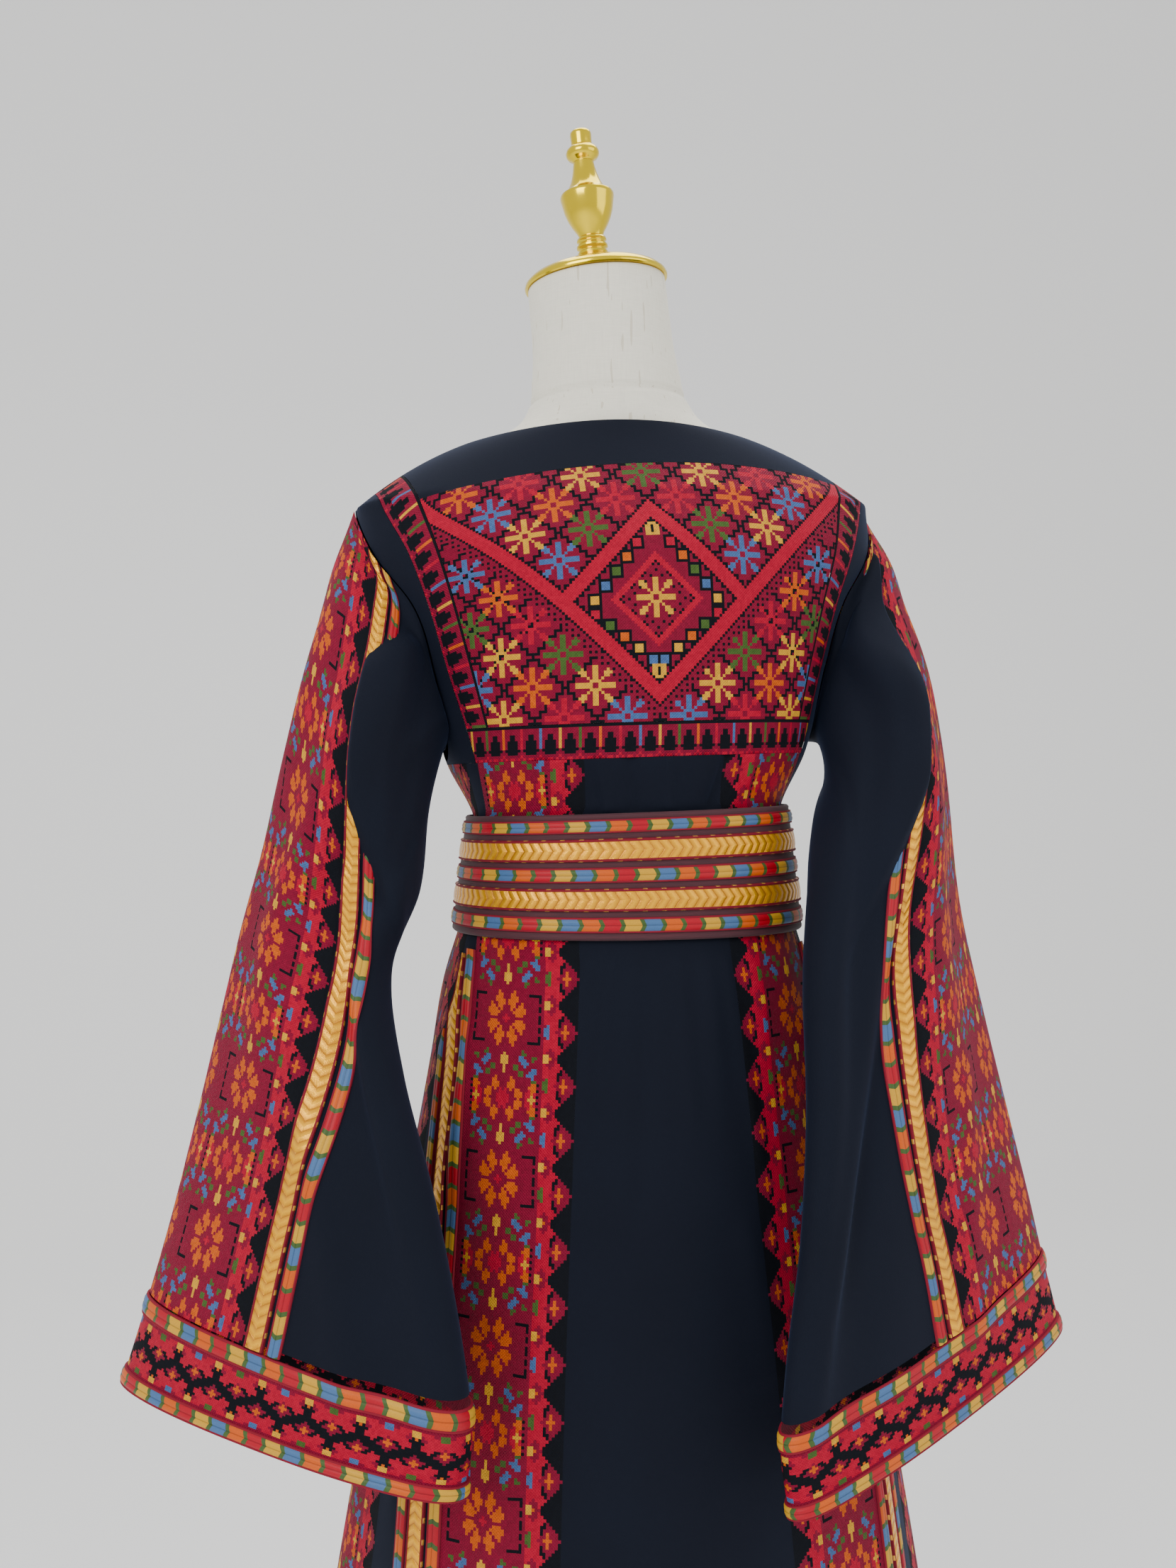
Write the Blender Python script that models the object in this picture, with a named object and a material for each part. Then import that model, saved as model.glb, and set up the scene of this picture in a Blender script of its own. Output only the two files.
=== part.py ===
"""An embroidered black thobe with bell sleeves and a wide belt, worn by a limbless linen dress form.

The back of the dress faces -Y and its left side, seen from behind, is -X. The stand's base rests on
z = 0. Every cloth panel is a closed wall cut from one smooth body surface or one sleeve surface, so
neighbouring panels share their seam, and each ribbon or braid is made from the points of the cloth
that it lies on, moved out.
"""
import math

import bpy
import numpy as np

# Driving sizes, in metres
CLOTH = 0.0015
SEAM_GAP = 0.0003
TRIM_GAP = 0.0004
RIBBON_WIDTH = 0.012
RIBBON_RISE = 0.0022
BRAID_WIDTH = 0.017
BRAID_RISE = 0.0026
TRIM_SPACE = 0.003
WAIST = 1.09
HEM = 0.045
YOKE_SEAM = 1.178
YOKE_BAND_TOP = 1.205
YOKE_TOP = 1.408
SHOULDER_TIP = 0.2175
NECK_SIDE = 0.14
NECK_BACK = 1.447
NECK_FRONT = 1.375
RIDGE_TOP = 1.45
RIDGE_FALL = 2.54
RIDGE_START = 0.06
ROUNDNESS = 2.2
# The lean of the body: sideways shift over the waist, and how far level rings tip, as slopes
LEAN = 0.114
LEAN_START = 1.035
LEAN_EASE = 0.10
BELT_TIP = 0.034
CAP_TIP = 0.108

# Rings of the body surface: half width to the side, depth to the back, depth to the front
BODY = (
    # height, half_width, back, front
    (0.045, 0.300, 0.262, 0.270),
    (0.300, 0.268, 0.228, 0.235),
    (0.550, 0.233, 0.190, 0.190),
    (0.750, 0.199, 0.155, 0.155),
    (0.930, 0.166, 0.127, 0.127),
    (1.000, 0.154, 0.115, 0.113),
    (1.045, 0.1405, 0.103, 0.100),
    (1.090, 0.1315, 0.098, 0.094),
    (1.130, 0.1290, 0.0975, 0.0935),
    (1.178, 0.151, 0.112, 0.118),
    (1.250, 0.171, 0.119, 0.128),
    (1.300, 0.190, 0.122, 0.130),
    (1.342, 0.214, 0.119, 0.122),
    (1.387, 0.2175, 0.104, 0.104),
)
# Depth of the shoulder slope above the shoulder tips
SHOULDER_DEPTH = (
    # height, back, front
    (1.387, 0.104, 0.104),
    (1.408, 0.092, 0.092),
    (1.430, 0.080, 0.082),
    (1.450, 0.070, 0.078),
)
# Seams of the back bodice, as distances from its middle
BACK_SEAMS = (
    # height, yoke_edge, border_edge, armhole
    (1.178, 0.118, 0.1345, 0.1519),
    (1.190, 0.122, 0.1375, 0.1530),
    (1.250, 0.137, 0.1545, 0.1630),
    (1.304, 0.150, 0.1690, 0.1790),
    (1.342, 0.160, 0.1820, 0.2046),
    (1.387, 0.172, 0.2000, 0.2175),
    (1.413, 0.180, 0.2040, 0.2175),
)
# Seams of the panels that run from the yoke to the hem, as lengths round from the middle of the back
LONG_SEAMS = (
    # height, back_panel, gore_width, front_strip_end
    (0.045, 0.112, 0.150, 0.455),
    (0.580, 0.089, 0.078, 0.345),
    (0.940, 0.067, 0.050, 0.286),
    (0.990, 0.064, 0.024, 0.262),
    (1.045, 0.060, 0.015, 0.248),
    (1.130, 0.057, 0.015, 0.236),
    (1.178, 0.060, 0.015, 0.245),
)
STRIP_WIDTH = 0.093
GORE_RIBBON_TOP = 1.025
GORE_BANDS_TOP = 0.94
# Folds that hang in the skirt: place round from the middle of the back, depth and width at the hem
SKIRT_FOLDS = (
    # degrees, depth, width_degrees, top
    (-168, 0.016, 11, 0.95),
    (-141, 0.020, 10, 0.98),
    (-112, 0.022, 9, 0.99),
    (-86, 0.024, 8, 0.99),
    (-52, 0.014, 10, 0.85),
    (-20, 0.010, 9, 0.70),
    (13, 0.011, 9, 0.75),
    (47, 0.016, 10, 0.88),
    (83, 0.024, 8, 0.99),
    (108, 0.022, 9, 0.99),
    (137, 0.020, 10, 0.97),
    (172, 0.016, 11, 0.95),
)
# Small pleats that leave the yoke seam and are held by the belt
BACK_PLEATS = (
    # degrees, depth, width_degrees
    (-33, 0.0035, 3.6),
    (13, 0.0040, 3.6),
    (31, 0.0030, 3.6),
)
PLEAT_EASE = 0.022
PLEAT_FOOT = 0.88
PLEAT_FADE = 0.10
PLEAT_UNDER_BELT = 0.7
FOLD_EASE = 1.3
LONG_LEVELS = (0.045, 0.20, 0.36, 0.52, 0.66, 0.78, 0.87, 0.94, 0.99, 1.025, 1.06, 1.10, 1.138,
               1.157, 1.178)

# Sleeves: the outer fold, the inner fold and half the thickness between back and front
LEFT_SLEEVE = (
    # down, outer_x, outer_y, outer_z, inner_x, inner_y, inner_z, half_thick
    (0.00, -0.219, 0.000, 1.387, -0.155, 0.000, 1.190, 0.046),
    (0.16, -0.241, -0.005, 1.330, -0.160, -0.020, 1.185, 0.046),
    (0.30, -0.262, -0.010, 1.265, -0.172, -0.055, 1.140, 0.044),
    (0.44, -0.281, -0.015, 1.185, -0.183, -0.085, 1.080, 0.040),
    (0.60, -0.306, -0.020, 1.085, -0.209, -0.110, 1.015, 0.036),
    (0.74, -0.331, -0.025, 0.985, -0.203, -0.152, 0.945, 0.036),
    (0.86, -0.357, -0.030, 0.885, -0.183, -0.188, 0.865, 0.038),
    (0.94, -0.374, -0.035, 0.820, -0.169, -0.203, 0.795, 0.040),
    (1.00, -0.387, -0.040, 0.772, -0.160, -0.212, 0.735, 0.042),
    (1.12, -0.406, -0.042, 0.705, -0.164, -0.222, 0.676, 0.044),
)
RIGHT_SLEEVE = (
    # down, outer_x, outer_y, outer_z, inner_x, inner_y, inner_z, half_thick
    (0.00, 0.219, 0.000, 1.387, 0.155, 0.000, 1.190, 0.046),
    (0.16, 0.246, -0.005, 1.330, 0.162, -0.025, 1.185, 0.046),
    (0.30, 0.255, -0.010, 1.265, 0.150, -0.075, 1.145, 0.044),
    (0.44, 0.266, -0.015, 1.170, 0.128, -0.125, 1.085, 0.038),
    (0.60, 0.280, -0.020, 1.060, 0.108, -0.158, 1.000, 0.033),
    (0.74, 0.297, -0.040, 0.960, 0.098, -0.186, 0.905, 0.030),
    (0.86, 0.317, -0.055, 0.865, 0.083, -0.208, 0.815, 0.028),
    (0.94, 0.329, -0.062, 0.810, 0.070, -0.220, 0.755, 0.028),
    (1.00, 0.337, -0.068, 0.768, 0.062, -0.228, 0.705, 0.028),
    (1.12, 0.352, -0.074, 0.702, 0.064, -0.238, 0.648, 0.028),
)
SLEEVE_ROWS = (0.0, 0.08, 0.16, 0.24, 0.32, 0.40, 0.48, 0.57, 0.66, 0.75, 0.83, 0.90, 0.955, 1.0,
               1.03, 1.09, 1.12)
# Long drapes of the sleeve: place round from the outer fold (back side positive), height, width
SLEEVE_FOLDS = (
    # around, height, width, start, end
    (0.24, 0.012, 0.050, 0.10, 0.85),
    (0.36, -0.009, 0.045, 0.30, 1.10),
    (0.70, 0.010, 0.060, 0.25, 1.12),
)
CUFF_GAP = 0.0012
ARMHOLE_LOW = 1.1905
ARMHOLE_GAP = 0.0012
ARMHOLE_BLEND = 0.16
SLEEVE_CURVE = 0.85
SLEEVE_STRIP_BACK = 0.059
SLEEVE_STRIP_FRONT = 0.046

BELT_BOTTOM = 1.0365
BELT_TOP = 1.1355
BELT_RINGS = (
    # height, half_width, back, front
    (1.0365, 0.1450, 0.1075, 0.1045),
    (1.1355, 0.1333, 0.1022, 0.0982),
)
BELT_THICK = 0.0028
BAND_GAP = 0.0004
BELT_BANDS = (
    # name, low, high, rise
    ("ribbon_bottom", 0.006, 0.018, 0.0020),
    ("braid_lower", 0.0225, 0.0405, 0.0024),
    ("ribbon_middle", 0.0450, 0.0570, 0.0020),
    ("braid_upper", 0.0615, 0.0795, 0.0024),
    ("ribbon_top", 0.0840, 0.0945, 0.0020),
)

# The dress form: its rings lie inside the dress, and its neck and cap show above it
FORM_RINGS = (
    # height, half_width, back, front
    (0.800, 0.100, 0.078, 0.078),
    (0.804, 0.130, 0.096, 0.096),
    (0.930, 0.152, 0.112, 0.112),
    (1.000, 0.141, 0.104, 0.102),
    (1.045, 0.1325, 0.0965, 0.0935),
    (1.090, 0.1268, 0.0935, 0.0895),
    (1.130, 0.1238, 0.0925, 0.0885),
    (1.178, 0.133, 0.101, 0.104),
    (1.250, 0.152, 0.112, 0.121),
    (1.300, 0.166, 0.1165, 0.125),
    (1.342, 0.178, 0.1130, 0.116),
    (1.375, 0.184, 0.1000, 0.094),
    (1.395, 0.181, 0.0890, 0.083),
    (1.412, 0.166, 0.0800, 0.0676),
    (1.425, 0.146, 0.0740, 0.0614),
    (1.436, 0.121, 0.0685, 0.0596),
    (1.447, 0.096, 0.0645, 0.060),
    (1.457, 0.080, 0.0625, 0.061),
    (1.472, 0.0685, 0.0605, 0.061),
    (1.500, 0.0620, 0.0590, 0.059),
    (1.5765, 0.0575, 0.0570, 0.057),
)
CAP_CENTRE_HEIGHT = 1.5768
CAP_PROFILE = (
    # radius, height above the neck
    (0.0, 0.0), (0.0595, 0.0), (0.0602, 0.0020), (0.0595, 0.0042), (0.0560, 0.0075),
    (0.0430, 0.0125), (0.0280, 0.0155), (0.0, 0.0170),
)
FINIAL_SEAT = 0.0138
NECK_ROUND_START = 1.43
NECK_ROUND_EASE = 0.04
FINIAL_PROFILE = (
    # radius, height above the cap
    (0.0, 0.0035), (0.0150, 0.0035), (0.0158, 0.0060), (0.0120, 0.0095), (0.0128, 0.0125),
    (0.0108, 0.0150), (0.0130, 0.0180), (0.0110, 0.0215), (0.0125, 0.0240), (0.0100, 0.0270),
    (0.0150, 0.0360), (0.0200, 0.0480), (0.0225, 0.0590), (0.0222, 0.0625), (0.0170, 0.0650),
    (0.0125, 0.0730), (0.0095, 0.0840), (0.0085, 0.0900), (0.0125, 0.0930), (0.0140, 0.0970),
    (0.0125, 0.1010), (0.0088, 0.1035), (0.0090, 0.1130), (0.0075, 0.1155), (0.0, 0.1160),
)
TURNED_SIDES = 16
POLE_RADIUS = 0.0125
POLE_TOP = 0.7997
BASE_RADIUS = 0.155
BASE_HEIGHT = 0.014
BASE_EDGE = 0.004


# Materials: colour, roughness, metallic
def finish(name, colour, roughness, metallic=0.0):
    """A plain Principled material, made once."""
    material = bpy.data.materials.get(name) or bpy.data.materials.new(name)
    material.use_nodes = True
    shader = material.node_tree.nodes["Principled BSDF"]
    shader.inputs["Base Color"].default_value = (*colour, 1.0)
    shader.inputs["Roughness"].default_value = roughness
    shader.inputs["Metallic"].default_value = metallic
    return material


def black_crepe():
    return finish("black crepe", (0.006, 0.008, 0.013), 0.75)


def tatreez():
    return finish("tatreez cloth", (0.22, 0.012, 0.022), 0.8)


def gold_braid():
    return finish("gold braid", (0.68, 0.37, 0.035), 0.4)


def satin_ribbon():
    return finish("satin ribbon", (0.55, 0.16, 0.06), 0.5)


def belt_cloth():
    return finish("belt cloth", (0.10, 0.01, 0.018), 0.7)


def linen():
    return finish("linen cover", (0.69, 0.67, 0.61), 0.85)


def gold_metal():
    return finish("gold metal", (0.72, 0.46, 0.05), 0.18, 1.0)


# The body surface
def table_column(table, column, height):
    """One column of a table whose first column is the height, read smoothly between its rows."""
    rows = np.array(table)
    order = np.argsort(rows[:, 0])
    x, y = rows[order, 0], rows[order, column]
    slope = np.gradient(y, x)
    height = np.clip(np.asarray(height, float), x[0], x[-1])
    k = np.clip(np.searchsorted(x, height, side="right") - 1, 0, len(x) - 2)
    step = x[k + 1] - x[k]
    t = (height - x[k]) / step
    return (
        y[k] * (1 + 2 * t) * (1 - t) ** 2
        + y[k + 1] * t * t * (3 - 2 * t)
        + step * (slope[k] * t * (1 - t) ** 2 - slope[k + 1] * t * t * (1 - t))
    )


def ridge_height(across):
    """Height of the shoulder line over a point this far from the middle."""
    return RIDGE_TOP - RIDGE_FALL * np.maximum(np.abs(across) - RIDGE_START, 0) ** 2


def half_width(height):
    """Half the width of the body at a height, which above the shoulder tips follows the ridge."""
    height = np.asarray(height, float)
    over = RIDGE_START + np.sqrt(np.maximum(RIDGE_TOP - height, 0) / RIDGE_FALL)
    tip_height = ridge_height(SHOULDER_TIP)
    return np.where(height > tip_height, over, table_column(BODY, 1, height))


def depth(height, front):
    """Depth of the body at a height, on the back or the front."""
    side = 1 if front else 0
    low = table_column(BODY, 2 + side, height)
    high = table_column(SHOULDER_DEPTH, 1 + side, height)
    return np.where(np.asarray(height) > SHOULDER_DEPTH[0][0], high, low)


def lean(points):
    """The body leans a little towards its left, and the belt and yoke lines tip with it."""
    rise = np.maximum(points[..., 2] - WAIST, 0)
    t = np.clip((points[..., 2] - LEAN_START) / LEAN_EASE, 0, 1)
    neck = np.clip((points[..., 2] - NECK_BACK) / (CAP_CENTRE_HEIGHT - NECK_BACK), 0, 1)
    tip = BELT_TIP * t * t * (3 - 2 * t) + (CAP_TIP - BELT_TIP) * neck
    leant = points.copy()
    leant[..., 2] += tip * points[..., 0]
    leant[..., 0] -= LEAN * rise * rise
    return leant


def fold_height(angle, height):
    """How far the skirt's folds and the small back pleats stand out at an angle in degrees."""
    total = np.zeros(np.broadcast(angle, height).shape)
    for place, deep, width, top in SKIRT_FOLDS:
        away = (angle - place + 180) % 360 - 180
        t = np.clip((top - height) / (top - HEM), 0, 1)
        mean = width * math.sqrt(math.pi) / 360
        total += deep * t**FOLD_EASE * (np.exp(-((away / width) ** 2)) - mean)
    above = np.clip((height - BELT_TOP) / PLEAT_EASE, 0, 1)
    under = np.clip((BELT_BOTTOM - height) / PLEAT_EASE, 0, 1)
    under = under * np.clip((height - PLEAT_FOOT) / PLEAT_FADE, 0, 1)
    for place, deep, width in BACK_PLEATS:
        held = np.maximum(above, PLEAT_UNDER_BELT * under)
        total += deep * held * np.exp(-(((angle - place) / width) ** 2))
    return total


def body_surface():
    """Dense rings from the hem to the yoke seam: points, outward normals and length round."""
    angle = np.linspace(-180, 180, 721)[None, :]
    height = np.array(LONG_LEVELS)[:, None]

    def ring(angle, height):
        turn = np.radians(angle)
        across = half_width(height) * np.sign(np.sin(turn)) * np.abs(np.sin(turn)) ** (2 / ROUNDNESS)
        back = np.cos(turn) > 0
        deep = np.where(back, depth(height, False), depth(height, True))
        along = -deep * np.sign(np.cos(turn)) * np.abs(np.cos(turn)) ** (2 / ROUNDNESS)
        reach = np.hypot(across, along)
        out = 1 + fold_height(angle, height) / reach
        return np.stack([across * out, along * out, height + 0 * across], axis=-1)

    points = ring(angle, height)
    normals = np.cross(
        np.roll(points[:, :-1], -2, axis=1) - np.roll(points[:, :-1], 2, axis=1),
        (ring(angle, height + 0.002) - ring(angle, height - 0.002))[:, :-1],
    )
    normals = np.concatenate([normals, normals[:, :1]], axis=1)
    normals /= np.linalg.norm(normals, axis=-1, keepdims=True)
    return points, normals, ring_lengths(points, 360)


def ring_lengths(points, start):
    """Signed length round each ring from its start column."""
    steps = np.linalg.norm(np.diff(points, axis=1), axis=-1)
    length = np.concatenate([np.zeros((len(points), 1)), np.cumsum(steps, axis=1)], axis=1)
    return length - length[:, start : start + 1]


def cut(surface, rows, columns):
    """Points and normals of a panel, its columns given as lengths round for each row."""
    points, normals, length = surface
    columns = np.asarray(columns)
    found_points, found_normals = [], []
    for i, row in enumerate(rows):
        for source, found in ((points, found_points), (normals, found_normals)):
            found.append(
                np.stack([np.interp(columns[i], length[row], source[row, :, k]) for k in range(3)], -1)
            )
    found_normals = np.array(found_normals)
    return np.array(found_points), found_normals / np.linalg.norm(found_normals, axis=-1, keepdims=True)


def spread(left, right, count):
    """Column places that share out the width between two seams, row by row."""
    share = np.linspace(0, 1, count)[None, :]
    return np.asarray(left)[:, None] * (1 - share) + np.asarray(right)[:, None] * share


# Closed walls
def add_object(name, vertices, faces, material, smooth=True):
    mesh = bpy.data.meshes.new(name)
    mesh.from_pydata([tuple(v) for v in vertices], [], faces)
    mesh.materials.append(material)
    if smooth:
        mesh.shade_smooth()
        mesh.set_sharp_from_angle(angle=math.radians(40))
    made = bpy.data.objects.new(name, mesh)
    bpy.context.scene.collection.objects.link(made)
    return made


def level_ends(normals, low, high):
    """Turns the normals of the end rows level, so that walls meet face to face at a level seam."""
    normals = normals.copy()
    for row, wanted in ((0, low), (-1, high)):
        if wanted:
            normals[row, :, 2] = 0
            normals[row] /= np.linalg.norm(normals[row], axis=-1, keepdims=True)
    return normals


def wall(name, points, normals, material, near=0.0, thick=CLOTH, closed=False, rise=None):
    """A closed wall on a grid of points, its outer face moved out by near, or by near plus rise.

    Without rise the wall goes inwards from the points by thick. With rise, one value a column, the
    inner face lies at near and the outer one at near + rise.
    """
    if rise is None:
        outer = points + normals * near
        return wall_between(name, outer, outer - normals * thick, material, closed)
    inner = points + normals * near
    outer = inner + normals * np.asarray(rise)[None, :, None]
    return wall_between(name, outer, inner, material, closed)


def wall_between(name, outer, inner, material, closed):
    """A closed wall between two grids of points, each quad cut along the same diagonal."""
    rows, columns = outer.shape[:2]
    both = lean(np.concatenate([outer.reshape(-1, 3), inner.reshape(-1, 3)]))
    size = rows * columns
    wrap = columns if closed else columns - 1
    faces = []
    for i in range(rows - 1):
        for j in range(wrap):
            a, b = i * columns + j, i * columns + (j + 1) % columns
            c, d = b + columns, a + columns
            faces += [(a, b, c), (a, c, d)]
            faces += [(size + c, size + b, size + a), (size + d, size + c, size + a)]
    for j in range(wrap):
        a, b = j, (j + 1) % columns
        faces += [(size + a, size + b, a), (size + b, b, a)]
        a, b = (rows - 1) * columns + j, (rows - 1) * columns + (j + 1) % columns
        faces += [(a, b, size + a), (b, size + b, size + a)]
    if not closed:
        for i in range(rows - 1):
            a, d = i * columns, (i + 1) * columns
            faces += [(a, d, size + d), (a, size + d, size + a)]
            b, c = a + columns - 1, d + columns - 1
            faces += [(size + b, size + c, b), (size + c, c, b)]
    made = add_object(name, both, faces, material)
    if signed_volume(made.data) < 0:
        made.data.flip_normals()
    return made


def signed_volume(mesh):
    total = 0.0
    for polygon in mesh.polygons:
        corners = [mesh.vertices[k].co for k in polygon.vertices]
        for k in range(1, len(corners) - 1):
            total += corners[0].dot(corners[k].cross(corners[k + 1]))
    return total


def padded(count, rise):
    """A trim's rise across its width: low at both edges and full between them."""
    share = np.linspace(0, 1, count)
    return rise * (0.35 + 0.65 * np.sin(np.pi * share) ** 0.6)


# Panels from the yoke to the hem
def long_panels(surface):
    levels = np.array(LONG_LEVELS)
    rows = range(len(levels))
    panel = table_column(LONG_SEAMS, 1, levels)
    strip = panel + STRIP_WIDTH
    gore = strip + np.interp(levels, *np.array(LONG_SEAMS)[:, [0, 2]].T)
    front = table_column(LONG_SEAMS, 3, levels)
    gap = SEAM_GAP / 2

    points, normals = cut(surface, rows, spread(-panel + gap, panel - gap, 13))
    wall("back_panel", points, level_ends(normals, False, True), black_crepe())
    for side, sign in (("L", -1), ("R", 1)):
        points, normals = cut(surface, rows, sign * spread(panel + gap, strip - gap, 6))
        wall("back_strip_" + side, points, level_ends(normals, False, True), tatreez())
        gore_panel(surface, side, sign, strip + gap, gore - gap)
        points, normals = cut(surface, rows, sign * spread(gore + gap, front - gap, 6))
        wall("side_front_strip_" + side, points, level_ends(normals, False, True), tatreez())
    half_left, half_right = -surface[2][:, 0], surface[2][:, -1]
    across = spread(front + gap - half_right, half_left - front - gap, 17)
    points, normals = cut(surface_from_front(surface), rows, across)
    wall("front_panel", points, level_ends(normals, False, True), black_crepe())


def surface_from_front(surface):
    """The same rings, with their length measured from the middle of the front."""
    points, normals, _ = surface
    half = (points.shape[1] - 1) // 2
    turned = [np.concatenate([a[:, half:-1], a[:, : half + 1]], axis=1) for a in (points, normals)]
    return turned[0], turned[1], ring_lengths(turned[0], half)


def gore_columns(start, end):
    """Column places across the side gore: the edges and middles of a ribbon, a braid and a ribbon.

    Where the gore is too narrow for all three, the columns past the first ribbon share what is left.
    """
    steps = (0, RIBBON_WIDTH / 2, RIBBON_WIDTH / 2, TRIM_SPACE, BRAID_WIDTH / 2, BRAID_WIDTH / 2,
             TRIM_SPACE, RIBBON_WIDTH / 2, RIBBON_WIDTH / 2)
    start, end = start[:, None], end[:, None]
    places = start + np.cumsum(steps)[None, :]
    ribbon_end = places[:, 2:3]
    shared = ribbon_end + (end - ribbon_end) * np.linspace(0, 1, 8)[None, 1:-1]
    narrow = places[:, -1:] > end - SEAM_GAP
    places[:, 3:] = np.where(narrow, shared, places[:, 3:])
    return np.concatenate([places, end], axis=1)


def gore_panel(surface, side, sign, start, end):
    """The black side gore with a ribbon on its back edge, and below the hip a braid and a ribbon."""
    rows = range(len(LONG_LEVELS))
    points, normals = cut(surface, rows, sign * gore_columns(start, end))
    wall("side_gore_" + side, points, level_ends(normals, False, True), black_crepe())

    wide = [i for i, level in enumerate(LONG_LEVELS) if level <= GORE_BANDS_TOP]
    below_belt = [i for i, level in enumerate(LONG_LEVELS) if level <= GORE_RIBBON_TOP]
    trims = (
        ("gore_ribbon_back_", slice(0, 3), below_belt, RIBBON_RISE, satin_ribbon()),
        ("gore_braid_", slice(3, 6), wide, BRAID_RISE, gold_braid()),
        ("gore_ribbon_front_", slice(6, 9), wide, RIBBON_RISE, satin_ribbon()),
    )
    for name, span, used, rise, material in trims:
        wall(
            name + side, points[used][:, span], normals[used][:, span], material,
            near=TRIM_GAP, rise=padded(3, rise),
        )


# The bodice above the yoke seam
def bodice_depth(across, height, front):
    """Depth of the bodice surface under a point of its front or back view."""
    share = 1 - np.minimum(np.abs(across) / half_width(height), 1) ** ROUNDNESS
    deep = depth(height, front) * share ** (1 / ROUNDNESS)
    return deep if front else -deep


def bodice_normal(points, front):
    """Outward normals from the gradient of the rounded section."""
    step = 0.0004

    def level(across, along, height):
        return (
            (np.abs(across) / half_width(height)) ** ROUNDNESS
            + (np.abs(along) / depth(height, front)) ** ROUNDNESS
        )

    x, y, z = points[..., 0], points[..., 1], np.minimum(points[..., 2], RIDGE_TOP - 0.002)
    slopes = np.stack(
        [
            level(x + step, y, z) - level(x - step, y, z),
            level(x, y + step, z) - level(x, y - step, z),
            level(x, y, z + step) - level(x, y, z - step),
        ],
        axis=-1,
    )
    return slopes / np.linalg.norm(slopes, axis=-1, keepdims=True)


def bodice_grid(across_at, shares, low, high, rows, front):
    """Columns that run up the bodice, their rows evenly spaced along the surface.

    across_at(share, height) gives the place of a column, low its lower end and high(across) its
    upper end, which lies on the shoulder ridge, a seam or the neckline.
    """
    grid = []
    for share in shares:
        top = high(across_at(share, low))
        for _ in range(30):
            top = 0.5 * top + 0.5 * high(across_at(share, top))
        q = np.linspace(0, 1, 400)
        height = low + (top - low) * (1 - (1 - q) ** 2)
        across = across_at(share, height)
        line = np.stack([across, bodice_depth(across, height, front), height], axis=-1)
        length = np.concatenate([[0], np.cumsum(np.linalg.norm(np.diff(line, axis=0), axis=1))])
        wanted = np.asarray(rows) * length[-1]
        grid.append(np.stack([np.interp(wanted, length, line[:, k]) for k in range(3)], axis=-1))
    points = np.array(grid).transpose(1, 0, 2)
    normals = bodice_normal(points, front)
    points[..., 1] += SEAM_GAP / 2 if front else -SEAM_GAP / 2
    return points, normals


def neckline_back(across):
    return NECK_BACK - (NECK_BACK - ridge_height(NECK_SIDE)) * (across / NECK_SIDE) ** 2


def neckline_front(across):
    share = np.minimum(np.abs(across) / NECK_SIDE, 1)
    return NECK_FRONT + (ridge_height(NECK_SIDE) - NECK_FRONT) * share**2.4


def bodice_top(neckline):
    """Upper end of a column: the neckline in the middle, the shoulder ridge outside it."""
    return lambda across: np.where(
        np.abs(across) < NECK_SIDE, neckline(across), ridge_height(across)
    ).item()


def seam_column(column):
    return lambda height: table_column(BACK_SEAMS, column, height)


def seam_length(seam, low, top):
    """Length of a seam up the back bodice from one height to another."""
    points, _ = bodice_grid(lambda u, z: seam(z), (0,), low, top, np.linspace(0, 1, 200), False)
    return np.linalg.norm(np.diff(points[:, 0], axis=0), axis=1).sum()


def rows_past_yoke(rows, seam):
    """Row places of a column that has the yoke's own rows below and three more up to the ridge."""
    ridge = bodice_top(neckline_back)
    yoke = seam_length(seam, YOKE_BAND_TOP, lambda x: YOKE_TOP)
    share = yoke / seam_length(seam, YOKE_BAND_TOP, ridge)
    return np.concatenate([rows * share, np.linspace(share, 1, 4)[1:]])


def rows_past_band(rows, seam):
    """The same rows over the height of the yoke band, for a column that starts at the yoke seam."""
    ridge = bodice_top(neckline_back)
    share = 1 - seam_length(seam, YOKE_BAND_TOP, ridge) / seam_length(seam, YOKE_SEAM, ridge)
    return np.concatenate([[0.0, share / 2], share + (1 - share) * rows])


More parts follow.
